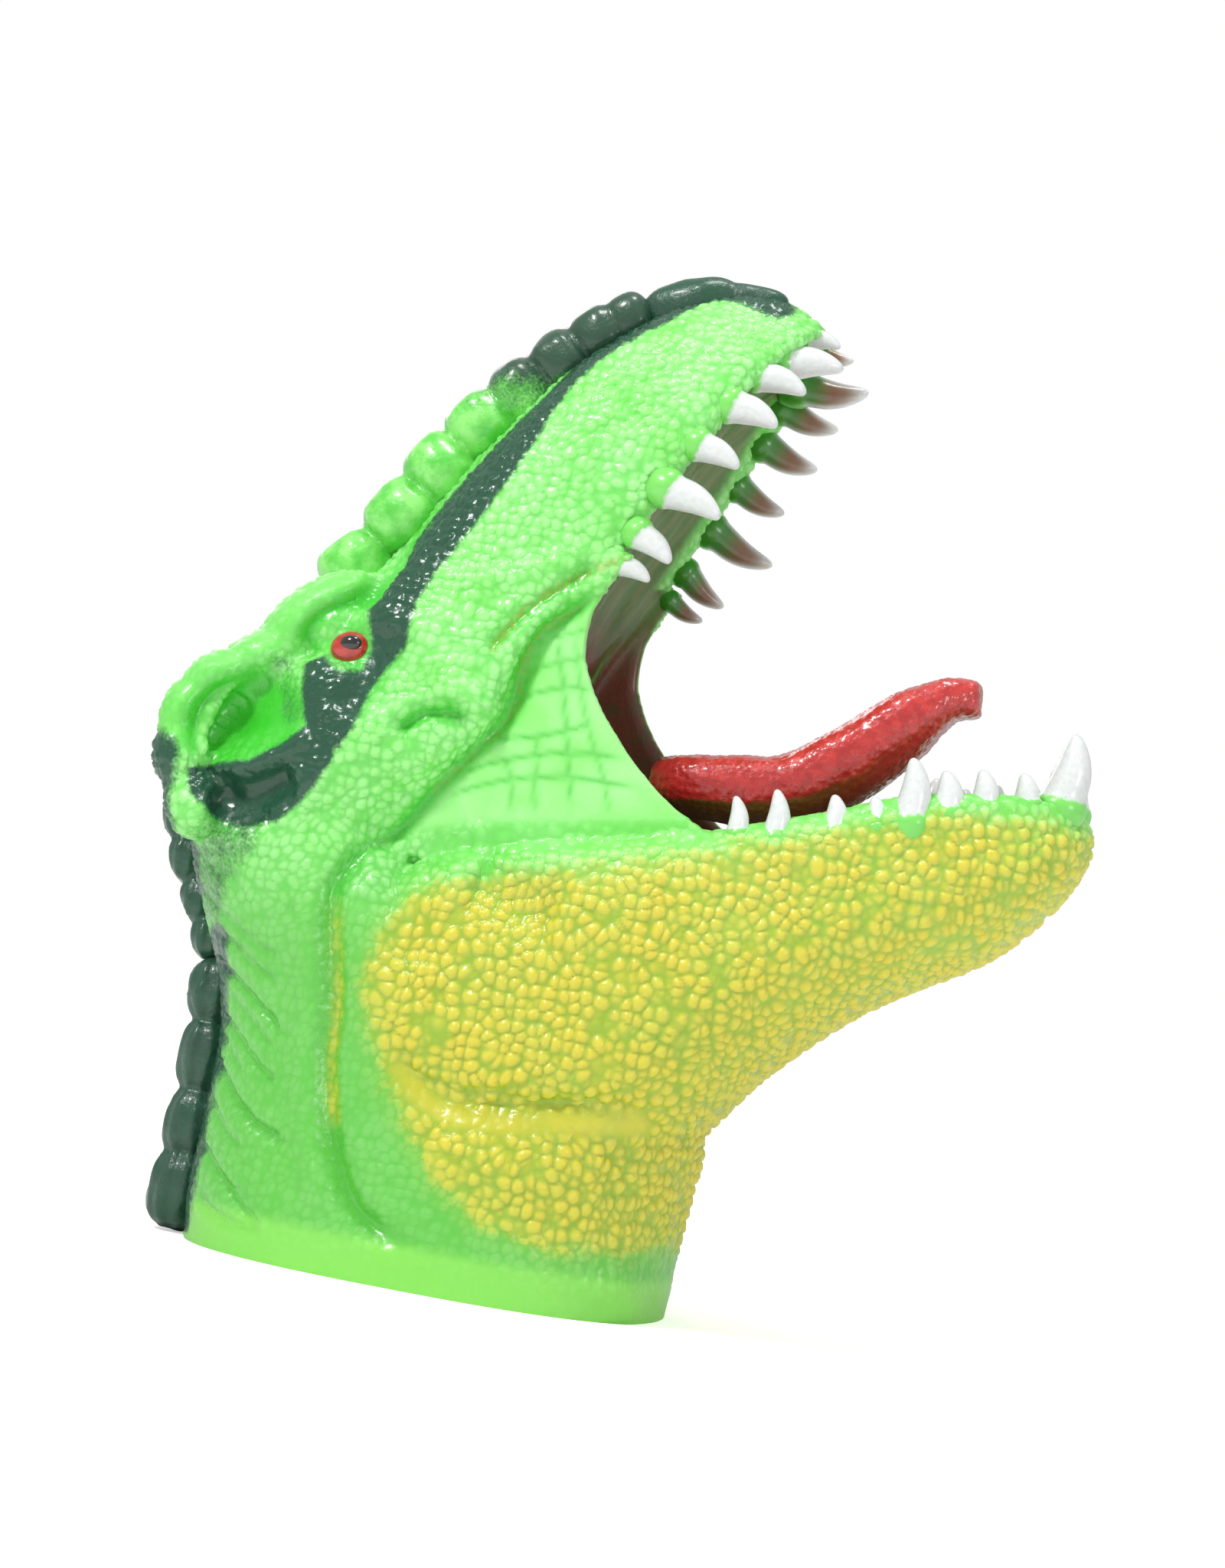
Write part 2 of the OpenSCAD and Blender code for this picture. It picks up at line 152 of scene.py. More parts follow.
# Folds as (points in XZ, half width, height): a groove has a negative height.
FOLDS = [
    # the border between cheek and web, and the crease that runs on down the neck
    ([(14, 131), (9, 127), (4, 121), (2, 114), (0, 105), (-5, 98), (-11, 90), (-17, 81), (-22, 77)],
     1.7, -2.0),
    ([(-15, 81), (-21, 77.5), (-24, 72), (-25, 66), (-23, 56), (-21.5, 47), (-21, 38), (-19, 29),
      (-16, 21), (-11, 13.5), (-4, 9.5), (4, 8)], 2.2, -2.4),
    ([(-27, 72), (-28, 62), (-26, 50), (-25, 40), (-22.5, 28), (-19, 18), (-13, 10)], 3.0, 1.1),
    # cheekbone, with a pit under it
    ([(-19, 122), (-15, 113), (-8, 108), (-1, 104)], 3.0, 1.5),
    ([(-21, 101), (-13, 106), (-6, 107), (-1, 103)], 1.8, 1.0),
    ([(-19, 98), (-15, 102.5), (-10, 104), (-6, 103)], 1.7, -2.3),
    ([(-1, 103), (-8, 97), (-13, 91), (-19, 83)], 3.2, 1.6),
    ([(12, 136), (8, 132), (3, 127), (-2, 121), (-6, 115)], 1.4, -1.1),
    ([(14, 134), (10, 130.5), (5, 126), (0, 119), (-2, 112)], 1.8, 0.9),
    ([(-10, 128), (-4, 131), (4, 134), (12, 139)], 2.2, 0.7),
    # eye socket, temple pit and the glossy pit below it
    ([(-26, 136), (-28, 129), (-31, 123), (-37, 119), (-39.5, 114), (-38, 109)], 2.2, -2.2),
    ([(-31, 113.5), (-30.5, 113)], 5.0, -1.6),
    ([(-24, 119), (-25, 112), (-27, 106), (-30, 100)], 4.0, -1.9),
    ([(-50, 97), (-42, 99)], 7.5, -3.6),
    ([(-52, 82), (-46, 82), (-41, 84.5), (-35, 88)], 3.8, -3.0),
    ([(-54, 87), (-47, 88), (-40, 91), (-34, 97)], 1.9, 1.6),
    ([(-23, 104), (-24, 96), (-31, 89), (-36, 83), (-39, 78)], 3.4, 1.6),
    ([(-54, 82), (-50, 77), (-43, 75), (-37, 78)], 2.4, 1.3),
    # the stripe's furrow beside the scutes
    ([(-31, 127), (-27, 133), (-22, 146), (-14, 158), (-6, 169), (3, 179), (14, 187)], 2.2, -1.0),
    # throat: the smooth crease, the hollow under the lip and the bulge below
    ([(-10, 44), (-4, 38), (4, 35.5), (13, 36), (22, 37.5), (32, 39), (40, 41)], 2.4, -2.0),
    ([(-2, 75), (8, 73), (18, 72)], 6.0, -2.6),
    ([(0, 26), (10, 25), (22, 26), (34, 28)], 5.5, 1.6),
    ([(-8, 60), (-6, 50), (2, 44)], 5.0, 1.2),
    ([(37, 6), (40, 4)], 4.0, 1.5),
]
NECK_WRINKLES = [
    ([(-51, 53), (-44, 49.5), (-37, 45.5), (-30, 41)], 0.9, -1.2),
    ([(-48, 58), (-40, 53), (-33, 50)], 0.8, -0.7),
    ([(-48, 43), (-41, 39), (-35, 34.5), (-30, 32)], 0.85, -1.1),
    ([(-47, 35), (-42, 30), (-34, 24.5), (-25, 22)], 0.95, -1.5),
    ([(-46, 27), (-41, 22.5), (-35, 19)], 0.8, -0.8),
    ([(-47, 19), (-41, 15), (-33, 9.5), (-27, 6)], 0.85, -1.1),
    ([(-45, 9), (-36, 6), (-27, 5.5)], 0.85, -1.0),
    ([(-41, 13), (-34, 12), (-28, 9)], 0.7, -0.5),
    ([(-45, 47), (-38, 42.5), (-32, 38)], 0.8, -0.7),
    ([(-47, 39), (-42, 36), (-38, 33)], 0.7, -0.6),
    ([(-56, 66), (-49, 62), (-40, 57), (-32, 54)], 1.0, -0.6),
    ([(-58, 73), (-50, 69), (-42, 66)], 1.2, -0.5),
    ([(-53, 60), (-46, 56), (-40, 55)], 0.8, -0.5),
]
WEB_LINES = [
    ([(-3, 101), (6, 102.5), (17, 107)], 0.6, -0.38),
    ([(-8, 93), (0, 97), (12, 100.5), (24, 101)], 0.6, -0.38),
    ([(-9, 89), (1, 93.5), (12, 96), (28, 96.5)], 0.6, -0.35),
    ([(1, 109), (9, 112), (15, 113)], 0.6, -0.35),
    ([(2, 114), (10, 117.5), (13, 118)], 0.6, -0.32),
    ([(4, 120), (11, 123)], 0.6, -0.3),
    ([(6, 104), (7, 96), (8, 88)], 0.6, -0.3),
    ([(1, 98), (3, 93), (4, 87)], 0.6, -0.3),
    ([(6, 122), (9, 113), (12, 101), (15, 89)], 0.6, -0.34),
    ([(9, 124), (14, 108), (19, 98), (22, 90)], 0.6, -0.3),
]
WEB_AREA = [(15, 132), (9, 126), (4, 120), (2, 114), (0.5, 105), (-4, 98), (-10, 91), (-17, 80), (-9, 83.5),
            (0, 86), (15, 88.5), (33, 91.5), (44, 99), (40, 120), (20, 134)]
YELLOW_AREA = [(110, 106), (97, 106), (84, 103.5), (68, 98), (50, 92), (32, 87.5), (19, 83), (0, 77),
               (-9, 72), (-15, 65), (-16, 54), (-14, 44), (-9, 36), (-3, 28), (3, 21), (12, 15), (26, 12),
               (44, 14), (50, 30), (120, 60)]
# Dark paint as (outline in XZ, softness, strength), and as soft lines (points, radius, strength)
DARK_AREAS = [
    # the stripe beside the scutes
    ([(-28, 119), (-27.5, 127), (-25, 135), (-21, 142), (-16.5, 149), (-12, 156), (-9, 162),
      (-5, 168), (-2.5, 174), (2, 179.5), (9, 186.5), (20, 190), (15, 184), (9, 179), (3.5, 173.5),
      (0, 168), (-2.6, 162), (-4.6, 155.5), (-7.6, 149), (-11.3, 141.5), (-15, 134.5),
      (-18, 128.5), (-20, 123), (-20, 118)], 2.2, 1.0),
    # round and behind the eye
    ([(-29.5, 122), (-21, 121), (-19.5, 115), (-22.5, 110.5), (-25, 106), (-26, 99), (-28, 94),
      (-35, 96), (-38, 103), (-39, 109), (-35.5, 110.5), (-32, 108.5), (-27.5, 109.5), (-27, 114),
      (-28, 118)], 2.6, 0.95),
    # the pit below the temple
    ([(-56, 86), (-54.5, 82), (-49.5, 78), (-44, 77), (-37.5, 79.5), (-33, 85), (-29, 92),
      (-28.5, 97), (-34, 98.5), (-39, 93.5), (-45, 89), (-51, 88)], 2.2, 1.0)]
DARK_LINES = [
    ([(-62, 88), (-62, 78), (-57, 66)], 5.0, 0.62), ([(-46, 76), (-50, 70), (-52, 64)], 7.0, 0.40),
    ([(-49, 56), (-48, 40), (-48, 20), (-48, 3)], 4.0, 0.60), ([(-43, 107), (-40, 100)], 3.5, 0.35),
    ([(-35, 117), (-31, 121)], 2.2, 0.25), ([(12, 190), (24, 192.5), (33, 190)], 3.2, 0.7),
]
BROWN_LINES = [
    ([(16, 137), (10, 133.5), (4, 129), (-1, 123), (-4, 117)], 0.7, 0.5),
    ([(9, 127), (4, 121), (2, 114), (0.5, 105), (-5, 97.5), (-11, 90)], 0.5, 0.3),
]
# The smooth wet-looking pits round the eye and the temple, as soft lines
PITS = [
    ([(-54, 98), (-46, 99.5), (-39, 98)], 6.5, 1.0), ([(-50, 80), (-38, 86)], 4.0, 1.0),
    ([(-60, 92), (-57, 104), (-48, 112), (-38, 121), (-33, 125)], 5.5, 1.0),
    ([(-31, 113.5), (-30, 113)], 6.5, 1.0),
]
HOLLOW_AREA = [(-59, 97), (-55, 102), (-49, 105.5), (-42, 106.5), (-37, 103), (-36, 96), (-38, 91),
               (-45, 87), (-53, 87), (-58, 91)]
YELLOW_LINE = [(-24, 66), (-22.5, 56), (-21, 47), (-20.5, 38), (-18, 28)]
SMOOTH_CREASE = [(-7, 38.5), (-1, 34), (7, 32.5), (16, 33), (25, 34.5), (36, 36.5)]


# ---------------------------------------------------------------- numbers on points
def smoothstep(a, b, x):
    """A soft step from 0 at a to 1 at b."""
    t = np.clip((x - a) / (b - a), 0, 1)
    return t * t * (3 - 2 * t)


def along(points, steps):
    """Points of a smooth curve through the given rows."""
    p = np.array(points, float)
    p = np.vstack([2 * p[0] - p[1], p, 2 * p[-1] - p[-2]])
    out = []
    for i in range(1, len(p) - 2):
        for t in np.arange(steps) / steps:
            a, b, c, d = p[i - 1], p[i], p[i + 1], p[i + 2]
            out.append(0.5 * (2 * b + (c - a) * t + (2 * a - 5 * b + 4 * c - d) * t * t
                              + (3 * b - a - 3 * c + d) * t ** 3))
    out.append(p[-2])
    return np.array(out)


def near(flat, points):
    """Distance of flat points to a polyline, and how far along it the nearest point is, from 0 to 1."""
    p = along(points, 3) if len(points) > 2 else np.array(points, float)
    best = np.full(len(flat), 1e9)
    where = np.zeros(len(flat))
    for i in range(len(p) - 1):
        a, d = p[i], p[i + 1] - p[i]
        t = np.clip(((flat - a) @ d) / max(d @ d, 1e-9), 0, 1)
        r = np.hypot(*(flat - a - t[:, None] * d).T)
        closer = r < best
        best[closer] = r[closer]
        where[closer] = ((i + t) / (len(p) - 1))[closer]
    return best, where


def soft_lines(flat, lines, core, rim):
    """Strongest of some soft lines: full within core radii of a line, and gone at rim radii."""
    best = np.zeros(len(flat))
    for points, radius, strength in lines:
        d = near(flat, points)[0]
        best = np.maximum(best, strength * (1 - smoothstep(core * radius, rim * radius, d)))
    return best


def inside(flat, outline, soft):
    """1 inside a closed outline and 0 outside, with a soft border."""
    p = np.array(outline, float)
    x, z = flat.T
    odd = np.zeros(len(flat), bool)
    best = np.full(len(flat), 1e9)
    for a, b in zip(p, np.roll(p, -1, axis=0)):
        crosses = (a[1] > z) != (b[1] > z)
        at = a[0] + (z - a[1]) / (b[1] - a[1] + 1e-12) * (b[0] - a[0])
        odd ^= crosses & (x < at)
        d = b - a
        t = np.clip(((flat - a) @ d) / (d @ d), 0, 1)
        best = np.minimum(best, np.hypot(*(flat - a - t[:, None] * d).T))
    return smoothstep(-soft, soft, np.where(odd, best, -best))


def scatter(cell, salt):
    """Three numbers from 0 to 1 that belong to each whole-numbered cell."""
    k = cell @ np.array([[127.1, 269.5, 419.2], [311.7, 183.3, 371.9], [74.7, 246.1, 168.2]]) + salt
    v = np.sin(k) * 43758.5453
    return v - np.floor(v)


def beads(co, size, salt=0.0):
    """Heights of round scales packed at random over a surface: 1 on top, 0 in the gaps."""
    p = co / size
    home = np.floor(p)
    first = np.full(len(p), 9.0)
    second = np.full(len(p), 9.0)
    for i in (-1, 0, 1):
        for j in (-1, 0, 1):
            for k in (-1, 0, 1):
                cell = home + (i, j, k)
                d = np.linalg.norm(cell + 0.15 + 0.7 * scatter(cell, salt) - p, axis=1)
                second = np.where(d < first, first, np.minimum(second, d))
                first = np.minimum(first, d)
    dome = np.clip(1 - (first / 0.82) ** 2, 0, 1)
    return dome * (0.35 + 0.65 * smoothstep(0.0, 0.4, second - first))


def noise(co, size, salt=0.0):
    """Smooth random values from 0 to 1."""
    p = co / size
    home = np.floor(p)
    f = p - home
    f = f * f * (3 - 2 * f)
    total = np.zeros(len(p))
    for i in (0, 1):
        for j in (0, 1):
            for k in (0, 1):
                w = (f[:, 0] if i else 1 - f[:, 0]) * (f[:, 1] if j else 1 - f[:, 1]) \
                    * (f[:, 2] if k else 1 - f[:, 2])
                total += w * scatter(home + (i, j, k), salt)[:, 0]
    return total


def signed(v, e):
    return np.sign(v) * np.abs(v) ** e


# ---------------------------------------------------------------- solids
def new_object(name, verts, faces):
    mesh = bpy.data.meshes.new(name)
    mesh.from_pydata(verts, [], faces)
    obj = bpy.data.objects.new(name, mesh)
    bpy.context.collection.objects.link(obj)
    return obj


def wall_between(rings, n):
    """Faces that join rings of n points, one after the other."""
    return [(i * n + j, i * n + (j + 1) % n, (i + 1) * n + (j + 1) % n, (i + 1) * n + j)
            for i in range(rings - 1) for j in range(n)]


def section(row, hollow=0.0, square=0.42, crown=0.82, sides=64):
    """A closed ring through an outer point and a lip point, hollowed between its lips."""
    ox, oz, lx, lz, w, share = row
    mid = np.array([ox + lx, oz + lz]) / 2
    half = np.array([ox - lx, oz - lz]) / 2
    size = np.hypot(*half)
    a = np.arange(sides) * 2 * np.pi / sides
    c, s = np.cos(a), np.sin(a)
    e = np.where(c < 0, square, crown)
    up = size * signed(c, e)
    y = w * signed(s, e)
    arch = np.where(c < 0, share * hollow * np.maximum(0, 1 - (y / (0.84 * w)) ** 2), 0)
    p = mid + np.outer(up + arch, half / size)
    return np.column_stack([p[:, 0], y, p[:, 1]])


def loft(name, rows, hollow=0.0, square=0.42, crown=0.82):
    """A closed solid through smoothed rows, in millimetres."""
    rings = [section(r, hollow, square, crown) for r in along(rows, 4)]
    n, m = len(rings[0]), len(rings)
    verts = np.vstack(rings + [rings[0].mean(0), rings[-1].mean(0)])
    faces = wall_between(m, n)
    faces += [((j + 1) % n, j, m * n) for j in range(n)]
    faces += [((m - 1) * n + j, (m - 1) * n + (j + 1) % n, m * n + 1) for j in range(n)]
    return new_object(name, verts.tolist(), faces)


def lobe(name, spec, side, blunt=1.0):
    """An egg-shaped solid, in millimetres. A blunt one is nearer to a rounded block."""
    x, y, z, a, b, c, slope = spec
    bpy.ops.mesh.primitive_uv_sphere_add(segments=32, ring_count=20, radius=1)
    obj = bpy.context.object
    obj.name = name
    put_points(obj.data, signed(points_of(obj.data), blunt))
    place = (Matrix.Translation((x, side * y, z)) @ Matrix.Rotation(-math.radians(slope), 4, "Y")
             @ Matrix.Diagonal((a, b, c, 1)))
    obj.data.transform(place)
    return obj


WEB_SIDE = 31.4                # how far out the cheek webs' roots stand, in millimetres
WEB_LEAN = 0.9                 # how much nearer the middle their free edges are
WEB_THICK = 4.6                # thickness at the root
WEB_THINNING = 1.8             # how much thinner the free edge is


def web_flap(side):
    """The thin skin at the corner of the mouth, thicker at its root."""
    front, back = along(WEB_FLAP, 4), along(WEB_ROOT, 4)
    cols = 8
    verts, faces = [], []
    for depth in (0.0, 1.0):
        for f, b in zip(front, back):
            for k in range(cols + 1):
                t = k / cols
                p = b + (f - b) * t
                y = WEB_SIDE - WEB_LEAN * t - depth * (WEB_THICK - WEB_THINNING * t)
                verts.append((p[0], side * y, p[1]))
    rows, n = len(front), cols + 1
    size = rows * n
    for i in range(rows - 1):
        for k in range(cols):
            a = i * n + k
            faces.append((a, a + 1, a + n + 1, a + n))
            faces.append((size + a, size + a + n, size + a + n + 1, size + a + 1))
        for k in (0, cols):
            a = i * n + k
            rim = (a, a + n, size + a + n, size + a)
            faces.append(rim if k == 0 else (a, size + a, size + a + n, a + n))
    for k in range(cols):
        for a in (k, (rows - 1) * n + k):
            rim = (a, size + a, size + a + 1, a + 1)
            faces.append(rim if a == k else (a, a + 1, size + a + 1, size + a))
    return new_object("web", verts, faces)


def deselect():
    """Leaves edit mode and selects nothing."""
    if bpy.context.object and bpy.context.object.mode != "OBJECT":
        bpy.ops.object.mode_set(mode="OBJECT")
    bpy.ops.object.select_all(action="DESELECT")


def activate(obj):
    deselect()
    obj.select_set(True)
    bpy.context.view_layer.objects.active = obj


def apply_modifier(obj, kind, **values):
    """Puts a modifier on an object and applies it at once."""
    activate(obj)
    modifier = obj.modifiers.new(kind.lower(), kind)
    for key, value in values.items():
        setattr(modifier, key, value)
    bpy.ops.object.modifier_apply(modifier=modifier.name)


def merge(objs):
    """Joins objects into the first of them."""
    deselect()
    for o in objs:
        o.select_set(True)
    bpy.context.view_layer.objects.active = objs[0]
    bpy.ops.object.join()
    return objs[0]


def turn_normals_out(obj):
    activate(obj)
    bpy.ops.object.mode_set(mode="EDIT")
    bpy.ops.mesh.select_all(action="SELECT")
    bpy.ops.mesh.normals_make_consistent(inside=False)
    bpy.ops.object.mode_set(mode="OBJECT")


def read(items, key, size=1, kind=float):
    """Numbers kept by each of a mesh's points, corners or faces."""
    v = np.empty(len(items) * size, kind)
    items.foreach_get(key, v)
    return v.reshape(-1, size) if size > 1 else v


def points_of(mesh):
    return read(mesh.vertices, "co", 3)


def normals_of(mesh):
    return read(mesh.vertex_normals, "vector", 3)


def put_points(mesh, co):
    mesh.vertices.foreach_set("co", co.ravel())
    mesh.update()


def give(mesh, name, values):
    """Keeps numbers on the mesh's points for the materials."""
    layer = mesh.attributes.get(name) or mesh.attributes.new(name, "FLOAT", "POINT")
    layer.data.foreach_set("value", np.ascontiguousarray(values, np.float32))


def take(mesh, name):
    return read(mesh.attributes[name].data, "value", kind=np.float32).astype(float)


def give_rest(mesh):
    """Keeps each point's place at rest, so that patterns stay on the rubber when it stretches."""
    layer = mesh.attributes.get("rest") or mesh.attributes.new("rest", "FLOAT_VECTOR", "POINT")
    layer.data.foreach_set("vector", points_of(mesh).astype(np.float32).ravel())


# ---------------------------------------------------------------- the moulded skin
def from_hinge(points):
    """Directions of flat points from the jaws' pivot, in degrees above the front."""
    return np.degrees(np.arctan2(points[:, 1] - HINGE[1], points[:, 0] - HINGE[0]))


PALATE_FACES = (0.87, -0.5)    # the way the palate looks, in XZ
FLOOR_FACES = (-0.3, 0.95)     # and the mouth's floor
# Half widths of the mouth: the palate's by height, and the floor's by x, in millimetres
MOUTH_MIDDLE = 112.0           # height between the palate's widths and the floor's
PALATE_WIDTHS = ([80, 95, 133, 160, 172, 185, 192], [27.5, 27.5, 25.5, 22.5, 19, 10, 3])
FLOOR_WIDTHS = ([0, 42, 71, 92, 103], [27.5, 28.5, 23.5, 13, 3])


def mouth_mask(co, normal):
    """1 on the inside of the mouth: the palate, its back wall and the floor."""
    flat = co[:, [0, 2]]
    x, z = flat.T
    gape = inside(flat, [(r[2] + 1.0, r[3] - 0.3) for r in SKULL[4:]] + [(60, 186), (108, 125)]
                  + [(r[2], r[3] + 0.3) for r in JAW[:2:-1]] + [(10, 92), (4, 100)], 1.0)
    roof = inside(flat, [(r[2], r[3]) for r in SKULL[3:12]]
                  + [(r[2] - 12, r[3] + 5) for r in SKULL[11:2:-1]], 1.0)
    floor = inside(flat, [(r[2], r[3]) for r in JAW[3:12]]
                   + [(r[2] + 3, r[3] - 12) for r in JAW[11:2:-1]], 1.0)
    width = np.where(z < MOUTH_MIDDLE, np.interp(x, *FLOOR_WIDTHS), np.interp(z, *PALATE_WIDTHS))
    down = smoothstep(-0.1, 0.35, normal[:, [0, 2]] @ PALATE_FACES)
    up = smoothstep(-0.1, 0.35, normal[:, [0, 2]] @ FLOOR_FACES)
    near_middle = smoothstep(0, 2.5, width - np.abs(co[:, 1]))
    facing = np.maximum(np.maximum(gape, roof * down), floor * up)
    inward = smoothstep(0.1, 0.45, -normal[:, 1] * np.sign(co[:, 1]))
    flap = inside(flat, WEB_FLAP + WEB_ROOT[::-1], 0.6) * inward
    return np.maximum(facing * near_middle, flap * (1 - smoothstep(30, 31, np.abs(co[:, 1]))))


def skin_masks(mesh):
    """Marks the areas of the skin that get their own relief and paint."""
    co, normal = points_of(mesh), normals_of(mesh)
    flat = co[:, [0, 2]]
    side = smoothstep(0.12, 0.5, np.abs(normal[:, 1]))
    mouth = mouth_mask(co, normal)
    outer = 1 - mouth
    web = inside(flat, WEB_AREA, 1.2) * smoothstep(20, 24, np.abs(co[:, 1]))
    angle = from_hinge(flat)
    yellow = inside(flat, YELLOW_AREA, 6.0) * outer
    dark = np.zeros(len(co))
    for outline, soft, strength in DARK_AREAS:
        dark = np.maximum(dark, strength * inside(flat, outline, soft))
    dark = np.maximum(dark, soft_lines(flat, DARK_LINES, 0.4, 1.5))
    brown = soft_lines(flat, BROWN_LINES, 0.4, 1.8)
    line = 1 - smoothstep(0.3, 3.0, near(flat, YELLOW_LINE)[0])
    smooth = 1 - smoothstep(0.5, 4.2, near(flat, SMOOTH_CREASE)[0])
    smooth = 0.8 * np.maximum(smooth, soft_lines(flat, PITS, 0.5, 1.2)) * side
    give(mesh, "mouth", mouth)
    give(mesh, "web", web * outer)
    give(mesh, "yellow", np.maximum(yellow, 0.5 * line * side))
    give(mesh, "dark", dark * outer * smoothstep(0.0, 0.2, np.abs(normal[:, 1])))
    give(mesh, "hollow", inside(flat, HOLLOW_AREA, 3.0) * side)
    give(mesh, "brown", brown * side)
    give(mesh, "smooth", smooth)
    drop = np.interp(flat[:, 0], [r[2] for r in JAW], [r[3] for r in JAW]) - flat[:, 1]
    give(mesh, "below", drop)
    ahead = smoothstep(-54, -46, angle) * (1 - smoothstep(20, 28, angle))
    give(mesh, "jaw", np.maximum(yellow, ahead * outer))
    return side, outer


def fold_skin(mesh):
    """Presses the folds and wrinkles into the skin's sides."""
    co, normal = points_of(mesh), normals_of(mesh)
    side, outer = skin_masks(mesh)
    flat = co[:, [0, 2]]
    move = np.zeros(len(co))
    groove = np.zeros(len(co))
    web = take(mesh, "web")
    for lines, where, full in ((FOLDS, 1.0, 1.1), (NECK_WRINKLES, 1.0, 1.1), (WEB_LINES, web, 0.5)):
        for points, width, height in lines:
            d, t = near(flat, points)
            shape = np.exp(-(d / width) ** 2) * where
            if len(points) > 2:
                shape = shape * np.minimum(smoothstep(0, 0.14, t), 1 - smoothstep(0.86, 1, t))
            move += height * shape
            if height < 0:
                groove = np.maximum(groove, shape * min(1.0, -height / full))
    move = move * side * outer
    move += 0.5 * (noise(co, 14, 3.0) - 0.5) * outer * (1 - web)
    # The groove mark also places the painted shade in the folds and in the temple's hollow.
    give(mesh, "groove", np.maximum(groove, 0.9 * take(mesh, "hollow")) * side * outer)
    put_points(mesh, co + normal * move[:, None])


def scale_skin(mesh, sizes):
    """Raises the scales on the fine skin, round and yellow-topped on the jaw and low on the head."""
    co, normal = points_of(mesh), normals_of(mesh)
    web, mouth, smooth, jaw, groove = (take(mesh, k) for k in ("web", "mouth", "smooth", "jaw", "groove"))
    warp = co + 1.7 * (np.column_stack([noise(co, 5, s) for s in (1.0, 7.0, 13.0)]) - 0.5)
    round_beads = beads(warp, sizes.jaw_bead, 0.0)
    low_beads = beads(warp, sizes.head_bead, 5.0)
    grain = beads(warp, 0.55 * sizes.head_bead, 9.0)
    outer = 1 - mouth
    on_neck = 1 - smoothstep(58, 72, co[:, 2])
    band = 0.25 + 0.75 * smoothstep(3, 9, co[:, 2])
    lip = 1 - jaw * (1 - smoothstep(1.0, 6.0, take(mesh, "below"))) * 0.7
    free = (1 - web) * (1 - 0.9 * smooth) * outer * band * lip
    low = (0.66 - 0.30 * on_neck) * (1 - jaw) * (1 - 0.6 * groove)
    move = sizes.bead_height * free * (jaw * round_beads + low * (0.8 * low_beads + 0.35 * grain))
    y, z = co[:, 1], co[:, 2]
    ripple = 0.35 * np.sin(y * 1.15 + 1.5 * noise(co, 9, 2.0)) * noise(co, 12, 4.0)
    move += mouth * smoothstep(118, 130, z) * ripple
    bead = np.where(jaw > 0.5, round_beads, low_beads) * free
    give(mesh, "bead", bead)
    put_points(mesh, co + normal * move[:, None])


SKIN_PARTS = {
    # name: (CAD nodes it stands for, finish, blend)
    "skull_skin": (("skull_shell",), "green_rubber", "upper"),
    "nape_stretch": (("nape_skin",), "green_rubber", "upper"),
    "cheek_web_top": (("cheek_web_left", "cheek_web_right"), "web_rubber", "upper"),
    "palate_skin": (("palate",), "palate_rubber", "upper"),
    "mouth_wall_top": (("throat_lining",), "mouth_lining", "upper"),
    "cheek_web_low": (("cheek_web_left", "cheek_web_right"), "web_rubber", "web"),
    "mouth_wall_low": (("throat_lining",), "mouth_lining", "web"),
    "jaw_hinge_skin": (("jaw_shell",), "yellow_rubber", "web"),
    "jaw_skin": (("jaw_shell",), "yellow_rubber", "lower"),
    "throat_stretch": (("throat_skin",), "yellow_rubber", "lower"),
    "mouth_floor_skin": (("mouth_floor",), "mouth_lining", "lower"),
    "neck_skin": (("neck_shell",), "green_rubber", None),
}
WEB_TURN = 36.0                # slope in degrees of the line where the cheek webs stay still
LOWER_TURN = 5.0               # slope of the line where the web's blend meets the jaw's
NECK_TURN = -51.25             # slope of the line where the throat starts to follow the jaw
NAPE_TOP = 86.0                # height of the nape's border with the skull, in millimetres
PALATE_END = 128.0             # height of the palate's back edge
THROAT_FRONT = 34.0            # x of the throat's border with the jaw
BLENDS = {}


def set_blends():
    """Lines through the pivot where the skin stays still, and where it has taken up a jaw's turn."""
    def across(slope, turn):
        a = math.radians(slope + turn)
        return np.array([math.cos(a), math.sin(a)])
    up, down = across(WEB_TURN, 90), across(WEB_TURN, -90)
    fore = across(NECK_TURN, 90)
    edge = across(LOWER_TURN, 0)
    web_soft = LOWER_SOFT * (down @ edge) / (fore @ edge)
    for key, moving, normal, soft in (("upper", "upper_jaw", up, UPPER_SOFT),
                                      ("lower", "lower_jaw", fore, LOWER_SOFT),
                                      ("web", "lower_jaw", down, web_soft)):
        end = np.array(HINGE) + normal * soft
        BLENDS[key] = (moving, (HINGE[0] * MM, 0, HINGE[1] * MM), (end[0] * MM, 0, end[1] * MM))


